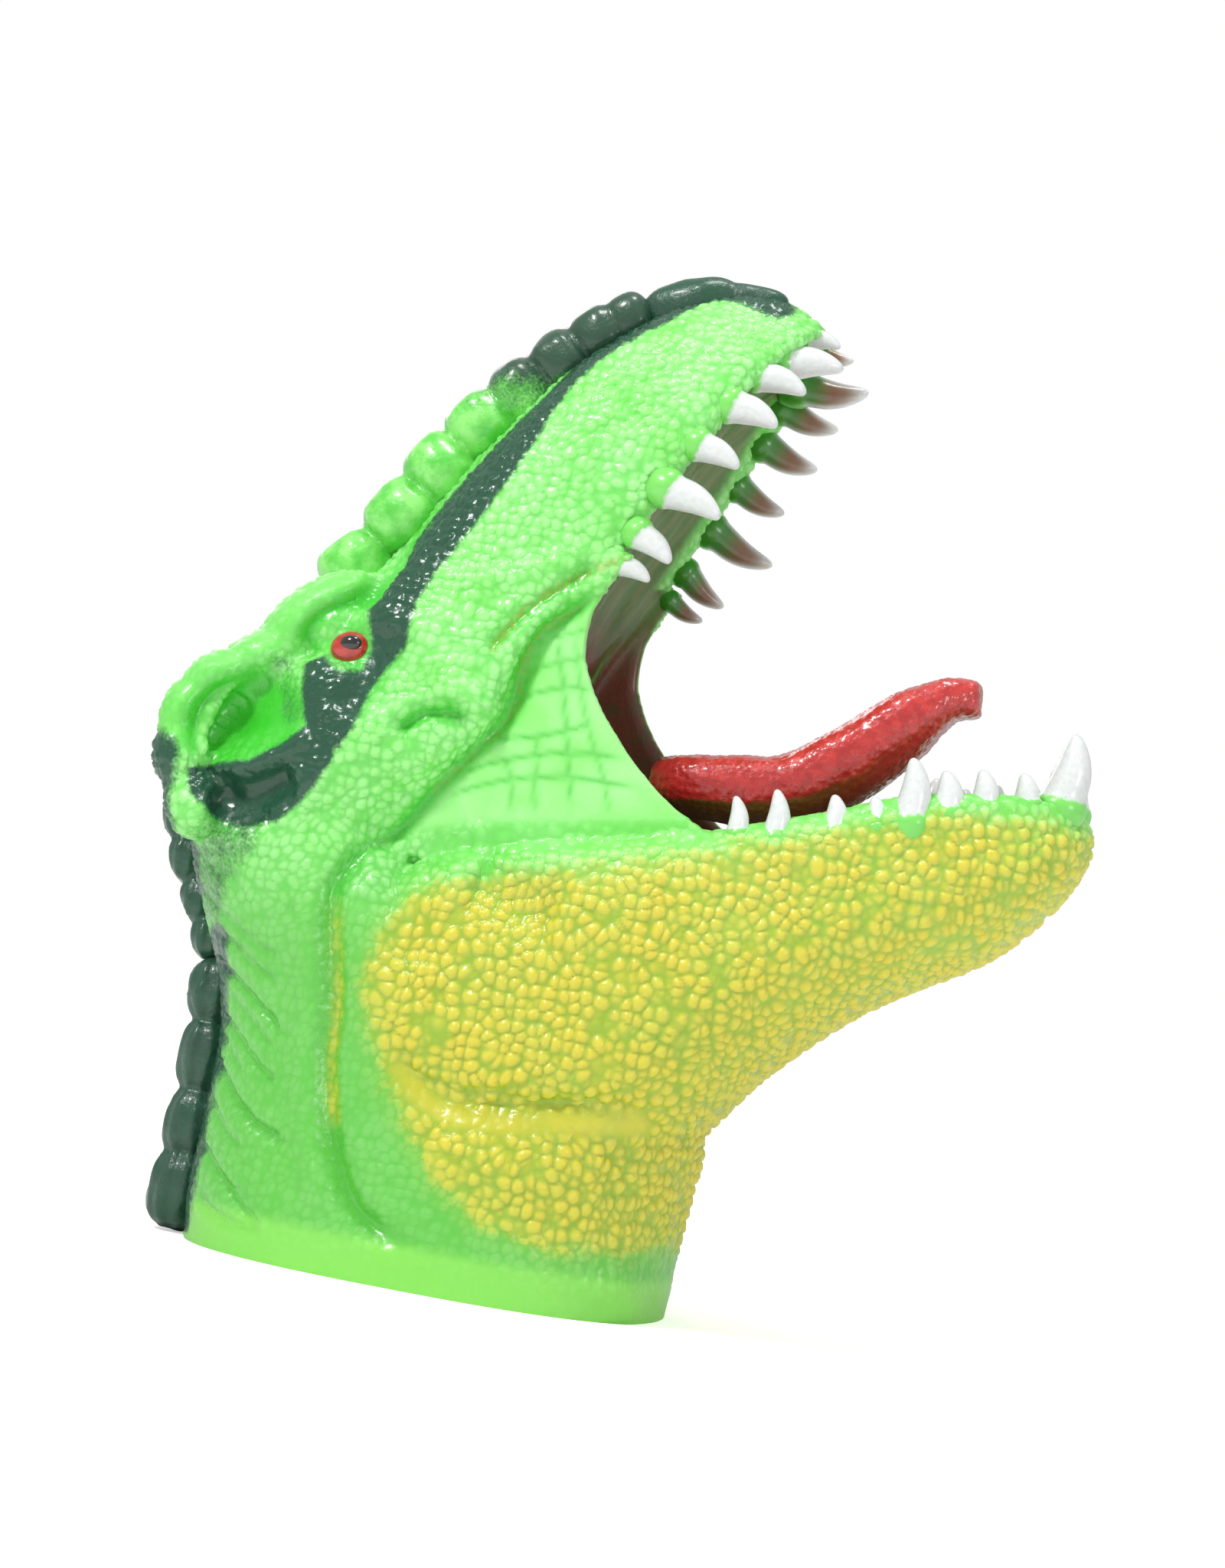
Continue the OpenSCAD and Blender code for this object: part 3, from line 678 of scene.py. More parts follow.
def label_faces(mesh):
    """Which piece of skin each face belongs to."""
    centre = read(mesh.polygons, "center", 3)
    first = read(mesh.loops, "vertex_index", kind=int)[read(mesh.polygons, "loop_start", kind=int)]
    mouth = take(mesh, "mouth")[first] > 0.5
    web = take(mesh, "web")[first] > 0.5
    x, y, z = centre.T
    angle = from_hinge(centre[:, [0, 2]])
    names = list(SKIN_PARTS)
    label = np.full(len(centre), names.index("neck_skin"))
    upper = (angle >= WEB_TURN) | (angle < WEB_TURN - 180)
    webbed = (angle < WEB_TURN) & (angle >= LOWER_TURN)
    lower = (angle < LOWER_TURN) & (angle >= NECK_TURN)
    for mask, name in (
            (upper, "skull_skin"), (upper & (z < NAPE_TOP) & ~mouth, "nape_stretch"),
            (upper & web, "cheek_web_top"), (upper & mouth & (z > PALATE_END), "palate_skin"),
            (upper & mouth & (z <= PALATE_END), "mouth_wall_top"),
            (webbed, "jaw_hinge_skin"), (webbed & web, "cheek_web_low"), (webbed & mouth, "mouth_wall_low"),
            (lower, "jaw_skin"), (lower & (x < THROAT_FRONT) & ~mouth, "throat_stretch"),
            (lower & mouth, "mouth_floor_skin")):
        label[mask] = names.index(name)
    return label, y < 0


def cut_piece(mesh, faces, normals, name, layers):
    """A piece of the skin with the whole skin's normals, so that no seam shows."""
    corners = read(mesh.loops, "vertex_index", kind=int)
    start = read(mesh.polygons, "loop_start", kind=int)
    total = read(mesh.polygons, "loop_total", kind=int)
    polys = [corners[start[f]:start[f] + total[f]] for f in np.nonzero(faces)[0]]
    used = np.unique(np.concatenate(polys))
    index = np.full(len(mesh.vertices), -1)
    index[used] = np.arange(len(used))
    co = points_of(mesh)[used] * MM
    obj = new_object(name, co.tolist(), [index[p].tolist() for p in polys])
    part = obj.data
    for key in layers:
        give(part, key, take(mesh, key)[used])
    give_rest(part)
    part.polygons.foreach_set("use_smooth", [True] * len(part.polygons))
    part.normals_split_custom_set_from_vertices(normals[used].tolist())
    return obj


SKIN_LAYERS = ("mouth", "web", "yellow", "dark", "brown", "smooth", "jaw", "groove", "bead", "below")


def make_skin(sizes):
    """The whole rubber skin as one mesh: solids grown together, folded, cut at the cuff and scaled."""
    solids = [loft("skull", SKULL, sizes.palate_depth, square=0.3),
              loft("jaw", JAW, sizes.floor_depth, square=0.27),
              loft("neck", NECK, square=0.8, crown=0.8),
              loft("cheek", CHEEK, square=0.4, crown=0.4)]
    for side in (1, -1):
        solids += [lobe("brow", s, side) for s in BROW]
        solids += [lobe("temple", s, side) for s in TEMPLE]
        solids.append(web_flap(side))
    skin = merge(solids)
    turn_normals_out(skin)
    skin.name = "skin"
    apply_modifier(skin, "REMESH", mode="VOXEL", voxel_size=sizes.voxel, use_smooth_shade=True)
    apply_modifier(skin, "SMOOTH", factor=0.5, iterations=4)
    mesh = skin.data
    fold_skin(mesh)
    activate(skin)
    bpy.ops.object.mode_set(mode="EDIT")
    bpy.ops.mesh.select_all(action="SELECT")
    bpy.ops.mesh.bisect(plane_co=(0, 0, 0), plane_no=(0, 0, 1), clear_inner=True)
    bpy.ops.object.mode_set(mode="OBJECT")
    apply_modifier(skin, "SUBSURF", levels=1, render_levels=1)
    scale_skin(mesh, sizes)
    return skin


def material_for(slot):
    return bpy.data.materials["painted_" + slot]


def finish_piece(obj, slot, nodes, body=None, blend=None, end=None):
    """Gives a piece its finish, hides the CAD nodes it stands for and parents it to the body it moves with; a
    piece given a blend is only baked in place.
    """
    obj.data.materials.clear()
    obj.data.materials.append(material_for(slot))
    if blend:
        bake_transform(obj)
    else:
        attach(obj, body)
    if nodes:
        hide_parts(*nodes)
    return obj


# ---------------------------------------------------------------- materials
class Graph:
    """Short ways to place and join shader nodes."""

    def __init__(self, tree):
        self.tree = tree
        self.count = 0

    def node(self, kind, **values):
        n = self.tree.nodes.new(kind)
        self.count += 1
        n.location = (220 * (self.count % 8), -240 * (self.count // 8))
        for key, value in values.items():
            setattr(n, key, value)
        return n

    def put(self, value, socket):
        if isinstance(value, bpy.types.NodeSocket):
            self.tree.links.new(value, socket)
        elif value is not None:
            socket.default_value = value

    def math(self, operation, a, b=None, c=None):
        n = self.node("ShaderNodeMath", operation=operation)
        for value, socket in zip((a, b, c), n.inputs):
            self.put(value, socket)
        return n.outputs[0]

    def mix(self, factor, a, b):
        n = self.node("ShaderNodeMix", data_type="RGBA")
        for value, key in ((factor, 0), (a, 6), (b, 7)):
            self.put(value, n.inputs[key])
        return n.outputs[2]

    def ramp(self, value, low, high, a=0.0, b=1.0):
        n = self.node("ShaderNodeMapRange", interpolation_type="SMOOTHSTEP")
        for v, socket in zip((value, low, high, a, b), n.inputs):
            self.put(v, socket)
        return n.outputs[0]

    def attribute(self, name, vector=False):
        n = self.node("ShaderNodeAttribute", attribute_name=name)
        return n.outputs["Vector" if vector else "Fac"]

    def noise(self, vector, scale, detail=3.0):
        n = self.node("ShaderNodeTexNoise")
        self.put(vector, n.inputs["Vector"])
        n.inputs["Scale"].default_value = scale
        n.inputs["Detail"].default_value = detail
        n.inputs["Roughness"].default_value = 0.55
        return n.outputs["Fac"]


def rgb(colour):
    return (*colour, 1.0)


def speckle_group():
    """A sprayed paint's mask: solid where the spray is full, and specks where it thins out."""
    tree = bpy.data.node_groups.new("Sprayed paint", "ShaderNodeTree")
    for name, kind, value in (
            ("Amount", "NodeSocketFloat", 0.0), ("Position", "NodeSocketVector", None),
            ("Speck size", "NodeSocketFloat", 1900.0), ("Spread", "NodeSocketFloat", 0.6)):
        s = tree.interface.new_socket(name=name, in_out="INPUT", socket_type=kind)
        if value is not None:
            s.default_value = value
    tree.interface.new_socket(name="Mask", in_out="OUTPUT", socket_type="NodeSocketFloat")
    g = Graph(tree)
    inp, out = g.node("NodeGroupInput"), g.node("NodeGroupOutput")
    fine = g.node("ShaderNodeTexNoise")
    g.put(inp.outputs["Position"], fine.inputs["Vector"])
    g.put(inp.outputs["Speck size"], fine.inputs["Scale"])
    fine.inputs["Detail"].default_value = 2.0
    coarse = g.noise(inp.outputs["Position"], 260.0, 3.0)
    grains = g.math("ADD", g.math("MULTIPLY", fine.outputs["Fac"], 0.6), g.math("MULTIPLY", coarse, 0.4))
    level = g.math("ADD", inp.outputs["Amount"],
                   g.math("MULTIPLY", g.math("SUBTRACT", grains, 0.5), inp.outputs["Spread"]))
    level = g.math("ADD", level, g.math("MULTIPLY", inp.outputs["Amount"], 0.15))
    g.put(g.ramp(level, 0.26, 0.70), out.inputs["Mask"])


# Paints beside those in the panel
FRESH_GREEN = (0.27, 0.80, 0.18, 1)
# painted shade in the gaps between the skin's scales
GAP_SHADE_GREEN = (0.08, 0.60, 0.04, 1)
# painted shadow that the head casts on the neck
NECK_SHADOW_GREEN = (0.10, 0.46, 0.045, 1)
CUFF_GREEN = (0.34, 0.84, 0.12, 1)
SCUTE_GREENS = ((0.10, 0.58, 0.06, 1), (0.28, 0.80, 0.18, 1))
SCUTE_SPRAY = (0.022, 0.075, 0.04, 1)
SCUTE_SHEEN = (0.03, 0.085, 0.055, 1)
# painted shade in the gaps between the jaw's yellow scales
YELLOW_GAP_SHADE = (0.34, 0.42, 0.012, 1)
SEAM_BROWN = (0.40, 0.24, 0.03, 1)
PALATE_GREYS = ((0.09, 0.20, 0.05, 1), (0.17, 0.22, 0.08, 1))
WALL_REDS = ((0.17, 0.04, 0.02, 1), (0.10, 0.06, 0.015, 1))
EYE_REDS = ((0.38, 0.012, 0.01, 1), (0.52, 0.03, 0.015, 1))
PUPIL_BLACKS = ((0.008, 0.008, 0.008, 1), (0.02, 0.018, 0.018, 1))
TONGUE_LIGHT = (0.60, 0.035, 0.03, 1)
TONGUE_UNDER = (0.13, 0.13, 0.02, 1)
TOOTH_GREY = (0.66, 0.70, 0.68, 1)
GUM_GREEN = (0.20, 0.68, 0.12, 1)
BARE_TOOTH = ((0.03, 0.24, 0.01, 1), (0.20, 0.07, 0.012, 1), (0.34, 0.26, 0.14, 1))


def skin_group(colours):
    """The skin's colour, gloss and fine relief, from the marks kept on its points, with painted shade in its
    gaps and folds and a painted shadow on the neck.
    """
    tree = bpy.data.node_groups.new("Painted rubber", "ShaderNodeTree")
    for name in ("Colour", "Roughness", "Height"):
        kind = "NodeSocketColor" if name == "Colour" else "NodeSocketFloat"
        tree.interface.new_socket(name=name, in_out="OUTPUT", socket_type=kind)
    g = Graph(tree)
    out = g.node("NodeGroupOutput")
    place = g.attribute("rest", vector=True)
    bead, web, mouth = (g.attribute(k) for k in ("bead", "web", "mouth"))
    groove, yellow, dark, brown = (g.attribute(k) for k in ("groove", "yellow", "dark", "brown"))

    def spray(amount, size, spread):
        n = g.node("ShaderNodeGroup")
        n.node_tree = bpy.data.node_groups["Sprayed paint"]
        g.put(amount, n.inputs["Amount"])
        g.put(place, n.inputs["Position"])
        n.inputs["Speck size"].default_value = size
        n.inputs["Spread"].default_value = spread
        return n.outputs["Mask"]

    clouds = g.noise(place, 90.0, 4.0)
    fine = g.noise(place, 900.0, 3.0)
    light, fold_shade = rgb(colours.light_green), rgb(colours.fold_shade_green)
    top = g.ramp(bead, -0.1, 0.8)
    # painted shade: a deeper green in the gaps between the scales, while their tops keep the rubber's own
    # greens
    gap_shade = g.math("MULTIPLY", g.math("SUBTRACT", 1.0, web), g.math("SUBTRACT", 1.0, top))
    base = g.mix(g.ramp(clouds, 0.35, 0.7), light, FRESH_GREEN)
    base = g.mix(g.math("MULTIPLY", gap_shade, 0.68), base, GAP_SHADE_GREEN)
    # painted shade: deep green along the grooves and in the temple's hollow, faint where the yellow paint is
    crease = g.math("MULTIPLY", groove, g.math("MULTIPLY_ADD", yellow, -0.8, 0.85))
    base = g.mix(crease, base, fold_shade)
    # painted shadow of the head on the neck: the green darkens from 85 mm down to 55 mm
    z = g.node("ShaderNodeSeparateXYZ")
    g.put(place, z.inputs[0])
    neck = g.ramp(z.outputs["Z"], 0.085, 0.055)
    base = g.mix(g.math("MULTIPLY", neck, 0.72), base, NECK_SHADOW_GREEN)
    band = g.ramp(z.outputs["Z"], 0.0095, 0.0065)
    base = g.mix(g.math("MULTIPLY", band, 0.5), base, CUFF_GREEN)
    # painted shade on the jaw's scales: the yellow turns ochre in the gaps between them, and stays full on
    # their tops and in the smooth pits
    lit = g.math("MAXIMUM", g.ramp(bead, -0.2, 0.75), g.attribute("smooth"))
    lip = g.ramp(g.attribute("below"), -1.0, 13.0, 0.36, 1.0)
    patchy = g.ramp(g.noise(place, 130.0, 3.0), 0.35, 0.65, 0.72, 1.05)
    amount = g.math("MULTIPLY", g.math("MULTIPLY", yellow, lip), patchy)
    dusted = g.math("MULTIPLY_ADD", spray(amount, 1500.0, 0.9), 0.55, g.math("MULTIPLY", amount, 0.45))
    sprayed = g.math("MULTIPLY", dusted, g.math("MULTIPLY_ADD", lit, 0.25, 0.75))
    base = g.mix(sprayed, base, g.mix(lit, YELLOW_GAP_SHADE, rgb(colours.yellow)))
    base = g.mix(g.math("MULTIPLY", brown, g.ramp(fine, 0.3, 0.6)), base, SEAM_BROWN)
    base = g.mix(spray(dark, 1500.0, 0.75), base, rgb(colours.dark_green))
    # inside the mouth: a streaked grey-green roof and a red-brown wall and floor
    roof = g.ramp(z.outputs["Z"], 0.118, 0.136)
    streaks = g.node("ShaderNodeTexNoise")
    stretch = g.node("ShaderNodeMapping")
    g.put(place, stretch.inputs["Vector"])
    stretch.inputs["Scale"].default_value = (0.25, 1.6, 0.25)
    g.put(stretch.outputs[0], streaks.inputs["Vector"])
    streaks.inputs["Scale"].default_value = 420.0
    palate = g.mix(g.ramp(streaks.outputs["Fac"], 0.4, 0.62), *PALATE_GREYS)
    wall = g.mix(g.ramp(g.noise(place, 150.0, 4.0), 0.42, 0.6), *WALL_REDS)
    inner = g.mix(roof, wall, palate)
    base = g.mix(mouth, base, inner)
    g.put(base, out.inputs["Colour"])
    rough = g.math("ADD", 0.36, g.math("MULTIPLY", g.ramp(fine, 0.3, 0.8), 0.14))
    rough = g.math("SUBTRACT", rough, g.math("MULTIPLY", g.math("MAXIMUM", dark, groove), 0.20))
    g.put(rough, out.inputs["Roughness"])
    relief = g.math("ADD", g.math("MULTIPLY", g.noise(place, 1600.0, 3.0), 0.5),
                    g.math("MULTIPLY", g.noise(place, 520.0, 2.0), 0.7))
    g.put(relief, out.inputs["Height"])


def principled(name, roughness=0.35, coat=0.25, subsurface=0.0):
    material = bpy.data.materials.new("painted_" + name)
    material.use_nodes = True
    tree = material.node_tree
    shader = tree.nodes["Principled BSDF"]
    shader.inputs["Roughness"].default_value = roughness
    shader.inputs["Coat Weight"].default_value = coat
    shader.inputs["Coat Roughness"].default_value = 0.12
    shader.inputs["IOR"].default_value = 1.48
    shader.inputs["Subsurface Weight"].default_value = subsurface
    shader.inputs["Subsurface Radius"].default_value = (0.6, 1.0, 0.35)
    shader.inputs["Subsurface Scale"].default_value = 0.0022
    return Graph(tree), shader


def add_bump(g, shader, height, strength, distance=0.0004):
    bump = g.node("ShaderNodeBump")
    bump.inputs["Strength"].default_value = strength
    bump.inputs["Distance"].default_value = distance
    g.put(height, bump.inputs["Height"])
    g.put(bump.outputs[0], shader.inputs["Normal"])


def rubber_material(slot, coat, subsurface, bump):
    g, shader = principled(slot, coat=coat, subsurface=subsurface)
    group = g.node("ShaderNodeGroup")
    group.node_tree = bpy.data.node_groups["Painted rubber"]
    g.put(group.outputs["Colour"], shader.inputs["Base Color"])
    g.put(group.outputs["Roughness"], shader.inputs["Roughness"])
    add_bump(g, shader, group.outputs["Height"], bump)


def two_tone(slot, low, high, scale, coat, bump, roughness=0.32, extra=None):
    """A painted finish that wanders between two colours, with a further coat of paint from extra."""
    g, shader = principled(slot, roughness=roughness, coat=coat)
    place = g.attribute("rest", vector=True)
    n = g.noise(place, scale, 4.0)
    colour = g.mix(g.ramp(n, 0.35, 0.65), low, high)
    if extra:
        colour = extra(g, place, colour)
    g.put(colour, shader.inputs["Base Color"])
    g.put(g.math("ADD", roughness - 0.06, g.math("MULTIPLY", g.noise(place, 1100.0), 0.16)),
          shader.inputs["Roughness"])
    add_bump(g, shader, g.noise(place, 1300.0, 3.0), bump)


def make_materials(colours):
    """Rows are slot, coat, light under the surface and bump, and the two-tone finishes' own values."""
    speckle_group()
    skin_group(colours)
    for slot, coat, subsurface, bump in (
            ("green_rubber", 0.2, 0.15, 0.35), ("yellow_rubber", 0.22, 0.12, 0.35),
            ("web_rubber", 0.2, 0.2, 0.3), ("palate_rubber", 0.2, 0.05, 0.3),
            ("mouth_lining", 0.3, 0.0, 0.3), ("cuff_rubber", 0.25, 0.1, 0.2)):
        rubber_material(slot, coat, subsurface, bump)

    def scute_paint(g, place, colour):
        group = g.node("ShaderNodeGroup")
        group.node_tree = bpy.data.node_groups["Sprayed paint"]
        z = g.node("ShaderNodeSeparateXYZ")
        g.put(place, z.inputs[0])
        g.put(g.ramp(z.outputs["Z"], 0.156, 0.184, 0.16, 0.95), group.inputs["Amount"])
        g.put(place, group.inputs["Position"])
        group.inputs["Spread"].default_value = 0.8
        return g.mix(group.outputs["Mask"], colour, SCUTE_SPRAY)

    two_tone("snout_scute", *SCUTE_GREENS, 220.0, 0.45, 0.3, extra=scute_paint)
    two_tone("dark_scute", rgb(colours.dark_green), SCUTE_SHEEN, 260.0, 0.2, 0.45)
    two_tone("eye_red", *EYE_REDS, 500.0, 0.9, 0.05, roughness=0.14)
    two_tone("pupil_black", *PUPIL_BLACKS, 500.0, 0.9, 0.05, roughness=0.12)

    def tongue_paint(g, place, colour):
        low = g.attribute("low")
        x = g.node("ShaderNodeSeparateXYZ")
        g.put(place, x.inputs[0])
        under = g.math("MULTIPLY", g.ramp(low, 0.45, 0.9), g.ramp(x.outputs["X"], 0.074, 0.050))
        return g.mix(g.math("MULTIPLY", under, 0.85), colour, TONGUE_UNDER)

    two_tone("tongue_rubber", rgb(colours.red), TONGUE_LIGHT, 420.0, 0.8, 0.5, extra=tongue_paint)
    tooth_material(colours)


def tooth_material(colours):
    """White teeth, green at the gum, and left with mould green and brown on their inner sides."""
    g, shader = principled("tooth_white", roughness=0.28, coat=0.35)
    place, height = g.attribute("rest", vector=True), g.attribute("tooth")
    bare = g.attribute("bare")
    speck = g.noise(place, 900.0, 3.0)
    white = g.mix(g.ramp(speck, 0.3, 0.75), rgb(colours.white), TOOTH_GREY)
    gum = g.math("ADD", height, g.math("MULTIPLY", g.math("SUBTRACT", speck, 0.5), 0.14))
    colour = g.mix(g.ramp(gum, -0.03, 0.04), GUM_GREEN, white)
    base, middle, tip = BARE_TOOTH
    inner = g.mix(g.ramp(height, 0.05, 0.5), base, middle)
    inner = g.mix(g.ramp(height, 0.7, 1.0), inner, tip)
    colour = g.mix(g.math("MULTIPLY", bare, 0.92), colour, inner)
    g.put(colour, shader.inputs["Base Color"])
    add_bump(g, shader, speck, 0.15)


# ---------------------------------------------------------------- smaller pieces
# Upper and lower teeth as foot x, y, z, tip x, y shift, z and radius at the foot.
UPPER_TEETH = [
    (39.5, 7.5, 185.9, 45.2, -0.5, 185.2, 2.1), (37.4, 14, 179.6, 47.4, -1, 180.3, 3.4),
    (33.9, 19.5, 175.6, 42.2, 0, 173.7, 3.0), (30.5, 24, 168.6, 38.8, 0.5, 166.2, 3.2),
    (26.2, 27, 160, 33.6, 0.5, 157.2, 2.9), (22.6, 29, 150.8, 32.2, 1, 147.2, 3.4),
    (18.4, 29.5, 141.7, 24.6, 1, 137.7, 2.8), (16.2, 29.5, 136, 21.3, 0.5, 133.9, 2.1)]
LOWER_TEETH = [
    (45, 31, 92, 43.5, 0, 98.5, 1.8), (51.8, 30.5, 92.5, 50.7, 0, 101.1, 2.2),
    (62, 29, 95.2, 61, 0, 101.8, 2.2), (69, 27.8, 97.4, 68, 0, 102.6, 2.0),
    (74.8, 26, 100, 73.6, 0.5, 111.2, 3.0), (81.1, 24, 102.6, 79.5, 0.5, 109.6, 2.6),
    (87.2, 21, 104.6, 85.7, 0.5, 111, 2.4), (94.2, 16.5, 106.6, 92.8, 0.5, 111.8, 2.2),
    (100.2, 10.5, 108.3, 100.9, 0.5, 121.4, 3.7)]
UPPER_INSET = 1.0              # how far in from the lip the teeth stand, in millimetres
LOWER_INSET = 2.0
FAR_STRETCH = 0.22             # share by which the upper teeth on the left are longer
LOWER_SHRINK = 0.06            # share by which the lower teeth are shorter than their rows say
LOWER_SWELL = 1.15             # and how much stouter
TOOTH_BOW = 0.08               # sideways bow of a tooth as a share of its length
TOOTH_FOOT = (0.8, -0.55)      # radius and height of the buried foot's end, in tooth radii and lengths
# the profile, from the foot over the gum's collar to the tip, as radius and height
TOOTH_PROFILE = [(1.02, -0.36), (1.18, -0.2), (1.18, -0.08), (1.07, -0.01), (0.97, 0.04), (0.93, 0.18),
                 (0.86, 0.34), (0.75, 0.50), (0.64, 0.64), (0.51, 0.77), (0.38, 0.87), (0.25, 0.945),
                 (0.12, 0.99)]


def unit_tooth(name):
    """A round-tipped tooth of unit size on its own collar, standing up from the origin."""
    deselect()
    bpy.ops.mesh.primitive_cylinder_add(vertices=24, radius=1, depth=1, end_fill_type="NOTHING",
                                        location=(0, 0, 0.5))
    obj = bpy.context.object
    obj.name = name
    bpy.ops.object.transform_apply(location=True, rotation=True, scale=True)
    bpy.ops.object.mode_set(mode="EDIT")
    bpy.ops.mesh.select_all(action="DESELECT")
    bpy.ops.object.mode_set(mode="OBJECT")
    for v in obj.data.vertices:
        v.select = v.co.z > 0.2
    bpy.ops.object.mode_set(mode="EDIT")
    bpy.ops.mesh.select_mode(type="VERT")
    last_r, last_z = TOOTH_FOOT
    bpy.ops.transform.translate(value=(0, 0, last_z - 1))
    bpy.ops.transform.resize(value=(last_r, last_r, 1))
    for r, z in TOOTH_PROFILE:
        bpy.ops.mesh.extrude_region_move(TRANSFORM_OT_translate={"value": (0, 0, z - last_z)})
        bpy.ops.transform.resize(value=(r / last_r, r / last_r, 1))
        last_r, last_z = r, z
    bpy.ops.mesh.merge(type="CENTER")
    turn_normals_out(obj)
    return obj


def place_tooth(source, name, spec, side, upper):
    """A copy of the unit tooth, bowed and stood on the lip as its row says."""
    fx, fy, fz, tx, shift, tz, radius = spec
    obj = source.copy()
    obj.data = source.data.copy()
    obj.name = name
    bpy.context.collection.objects.link(obj)
    fy -= UPPER_INSET if upper else LOWER_INSET
    foot = np.array([fx, side * fy, fz])
    tip = np.array([tx, side * (fy + shift), tz])
    if upper and side > 0:
        tip += (tip - foot) * FAR_STRETCH
    if not upper:
        tip -= (tip - foot) * LOWER_SHRINK
        radius *= LOWER_SWELL
    axis = tip - foot
    length = np.linalg.norm(axis)
    axis /= length
    across = np.array([0.0, side, 0.0])
    across -= axis * (across @ axis)
    across /= np.linalg.norm(across)
    third = np.cross(axis, across)
    co = points_of(obj.data)
    height = co[:, 2]
    bend = TOOTH_BOW * length * np.sin(np.clip(height, 0, 1) * math.pi) * (-1 if upper else 1)
    world = foot + np.outer(co[:, 0] * radius, across) + np.outer(co[:, 1] * radius + bend, third) \
        + np.outer(height * length, axis)
    bare = smoothstep(0.15, 0.7, -co[:, 0]) if upper else smoothstep(0.55, 0.95, -co[:, 0]) * 0.5
    put_points(obj.data, world * MM)
    give(obj.data, "tooth", height)
    give(obj.data, "bare", bare)
    smooth_piece(obj)
    return obj


def smooth_piece(obj):
    """Rounds a small piece off and keeps its points' places for the patterns."""
    turn_normals_out(obj)
    bpy.ops.object.shade_smooth()
    apply_modifier(obj, "SUBSURF", levels=1, render_levels=1)
    give_rest(obj.data)


def lobes_piece(name, specs, side, shape):
    """A row of rounded lobes, sunk in the skin below, as one piece."""
    made = []
    for spec in specs:
        deselect()
        made.append(lobe(name, spec, side, 0.78))
        co = points_of(made[-1].data)
        put_points(made[-1].data, shape(co, np.array([spec[0], side * spec[1], spec[2]])))
    obj = merge(made)
    obj.name = name
    apply_modifier(obj, "REMESH", mode="VOXEL", voxel_size=0.55, use_smooth_shade=True)
    apply_modifier(obj, "SMOOTH", factor=0.5, iterations=3)
    put_points(obj.data, points_of(obj.data) * MM)
    give_rest(obj.data)
    return obj


def plain_lobe(co, centre):
    """A slightly uneven lobe."""
    rise = 0.9 * (noise(co, 3.5, 6.0) - 0.5)
    out = co - centre
    return co + out / np.linalg.norm(out, axis=1)[:, None] * rise[:, None]


def grooved_lobe(co, centre):
    """Shallow furrows that run up the nape scutes."""
    out = co - centre
    a = np.arctan2(out[:, 1], -out[:, 0])
    furrow = 0.32 * np.cos(a * 11 + 3 * noise(co, 4, 2.0)) + 0.7 * (noise(co, 3.0, 8.0) - 0.5)
    return co + out / np.linalg.norm(out, axis=1)[:, None] * furrow[:, None]


TONGUE = [
    (24.5, 104, 23.5, 95.5, 10.5, 0), (30, 105.4, 29, 94, 14.2, 0), (36, 106.2, 35, 94, 15.3, 0),
    (47, 107.8, 48.5, 94.5, 14.3, 0), (57.5, 115.4, 61, 101, 12.8, 0), (67.5, 123.8, 71.5, 111.5, 10.8, 0),
    (75.5, 127.4, 77.6, 119.6, 8.2, 0), (81.2, 127.8, 82, 121, 5, 0)]
TONGUE_BREAK = 47.5            # x at which the tongue is cut in two
CURL_BACK = (-0.011, 0, -0.004)   # where its bend starts, from the joint, in metres
CURL_FRONT = (0.010, 0, 0.006)    # and where it ends


def make_tongue():
    """The whole tongue, with its groove, waves and fine pimples, in millimetres."""
    obj = loft("tongue", TONGUE, square=0.75, crown=0.62)
    apply_modifier(obj, "REMESH", mode="VOXEL", voxel_size=0.9, use_smooth_shade=True)
    apply_modifier(obj, "SMOOTH", factor=0.5, iterations=5)
    mesh = obj.data
    co, normal = points_of(mesh), normals_of(mesh)
    on_top = smoothstep(-0.2, 0.5, -0.45 * normal[:, 0] + 0.9 * normal[:, 2])
    groove = -1.3 * np.exp(-(co[:, 1] / 1.6) ** 2) * on_top * smoothstep(20, 30, co[:, 0]) \
        * (1 - smoothstep(66, 76, co[:, 0]))
    waves = 0.7 * (noise(co, 7, 1.0) - 0.5) + 0.35 * (noise(co, 3, 2.0) - 0.5)
    put_points(mesh, co + normal * (groove + waves)[:, None])
    apply_modifier(obj, "SUBSURF", levels=1, render_levels=1)
    mesh = obj.data
    co, normal = points_of(mesh), normals_of(mesh)
    put_points(mesh, co + normal * (0.22 * beads(co, 1.5, 4.0))[:, None])
    up = -0.45 * normal[:, 0] + 0.9 * normal[:, 2]
    give(mesh, "low", 1 - smoothstep(-0.75, -0.1, up))
    return obj


def split_tongue(obj):
    """The tongue's root and its end, cut where it curls."""
    mesh = obj.data
    normals = normals_of(mesh)
    front = read(mesh.polygons, "center", 3)[:, 0] > TONGUE_BREAK
    return [cut_piece(mesh, faces, normals, name, ("low",))
            for faces, name in ((~front, "tongue_root_skin"), (front, "tongue_end_skin"))]


class PUPPET_OT_materials(bpy.types.Operator):
    """Makes the painted rubber, tooth, eye and tongue finishes."""
    bl_idname = "puppet.materials"
    bl_label = "Finishes"

    def execute(self, context):
        make_materials(context.scene.puppet_colours)
        return {"FINISHED"}


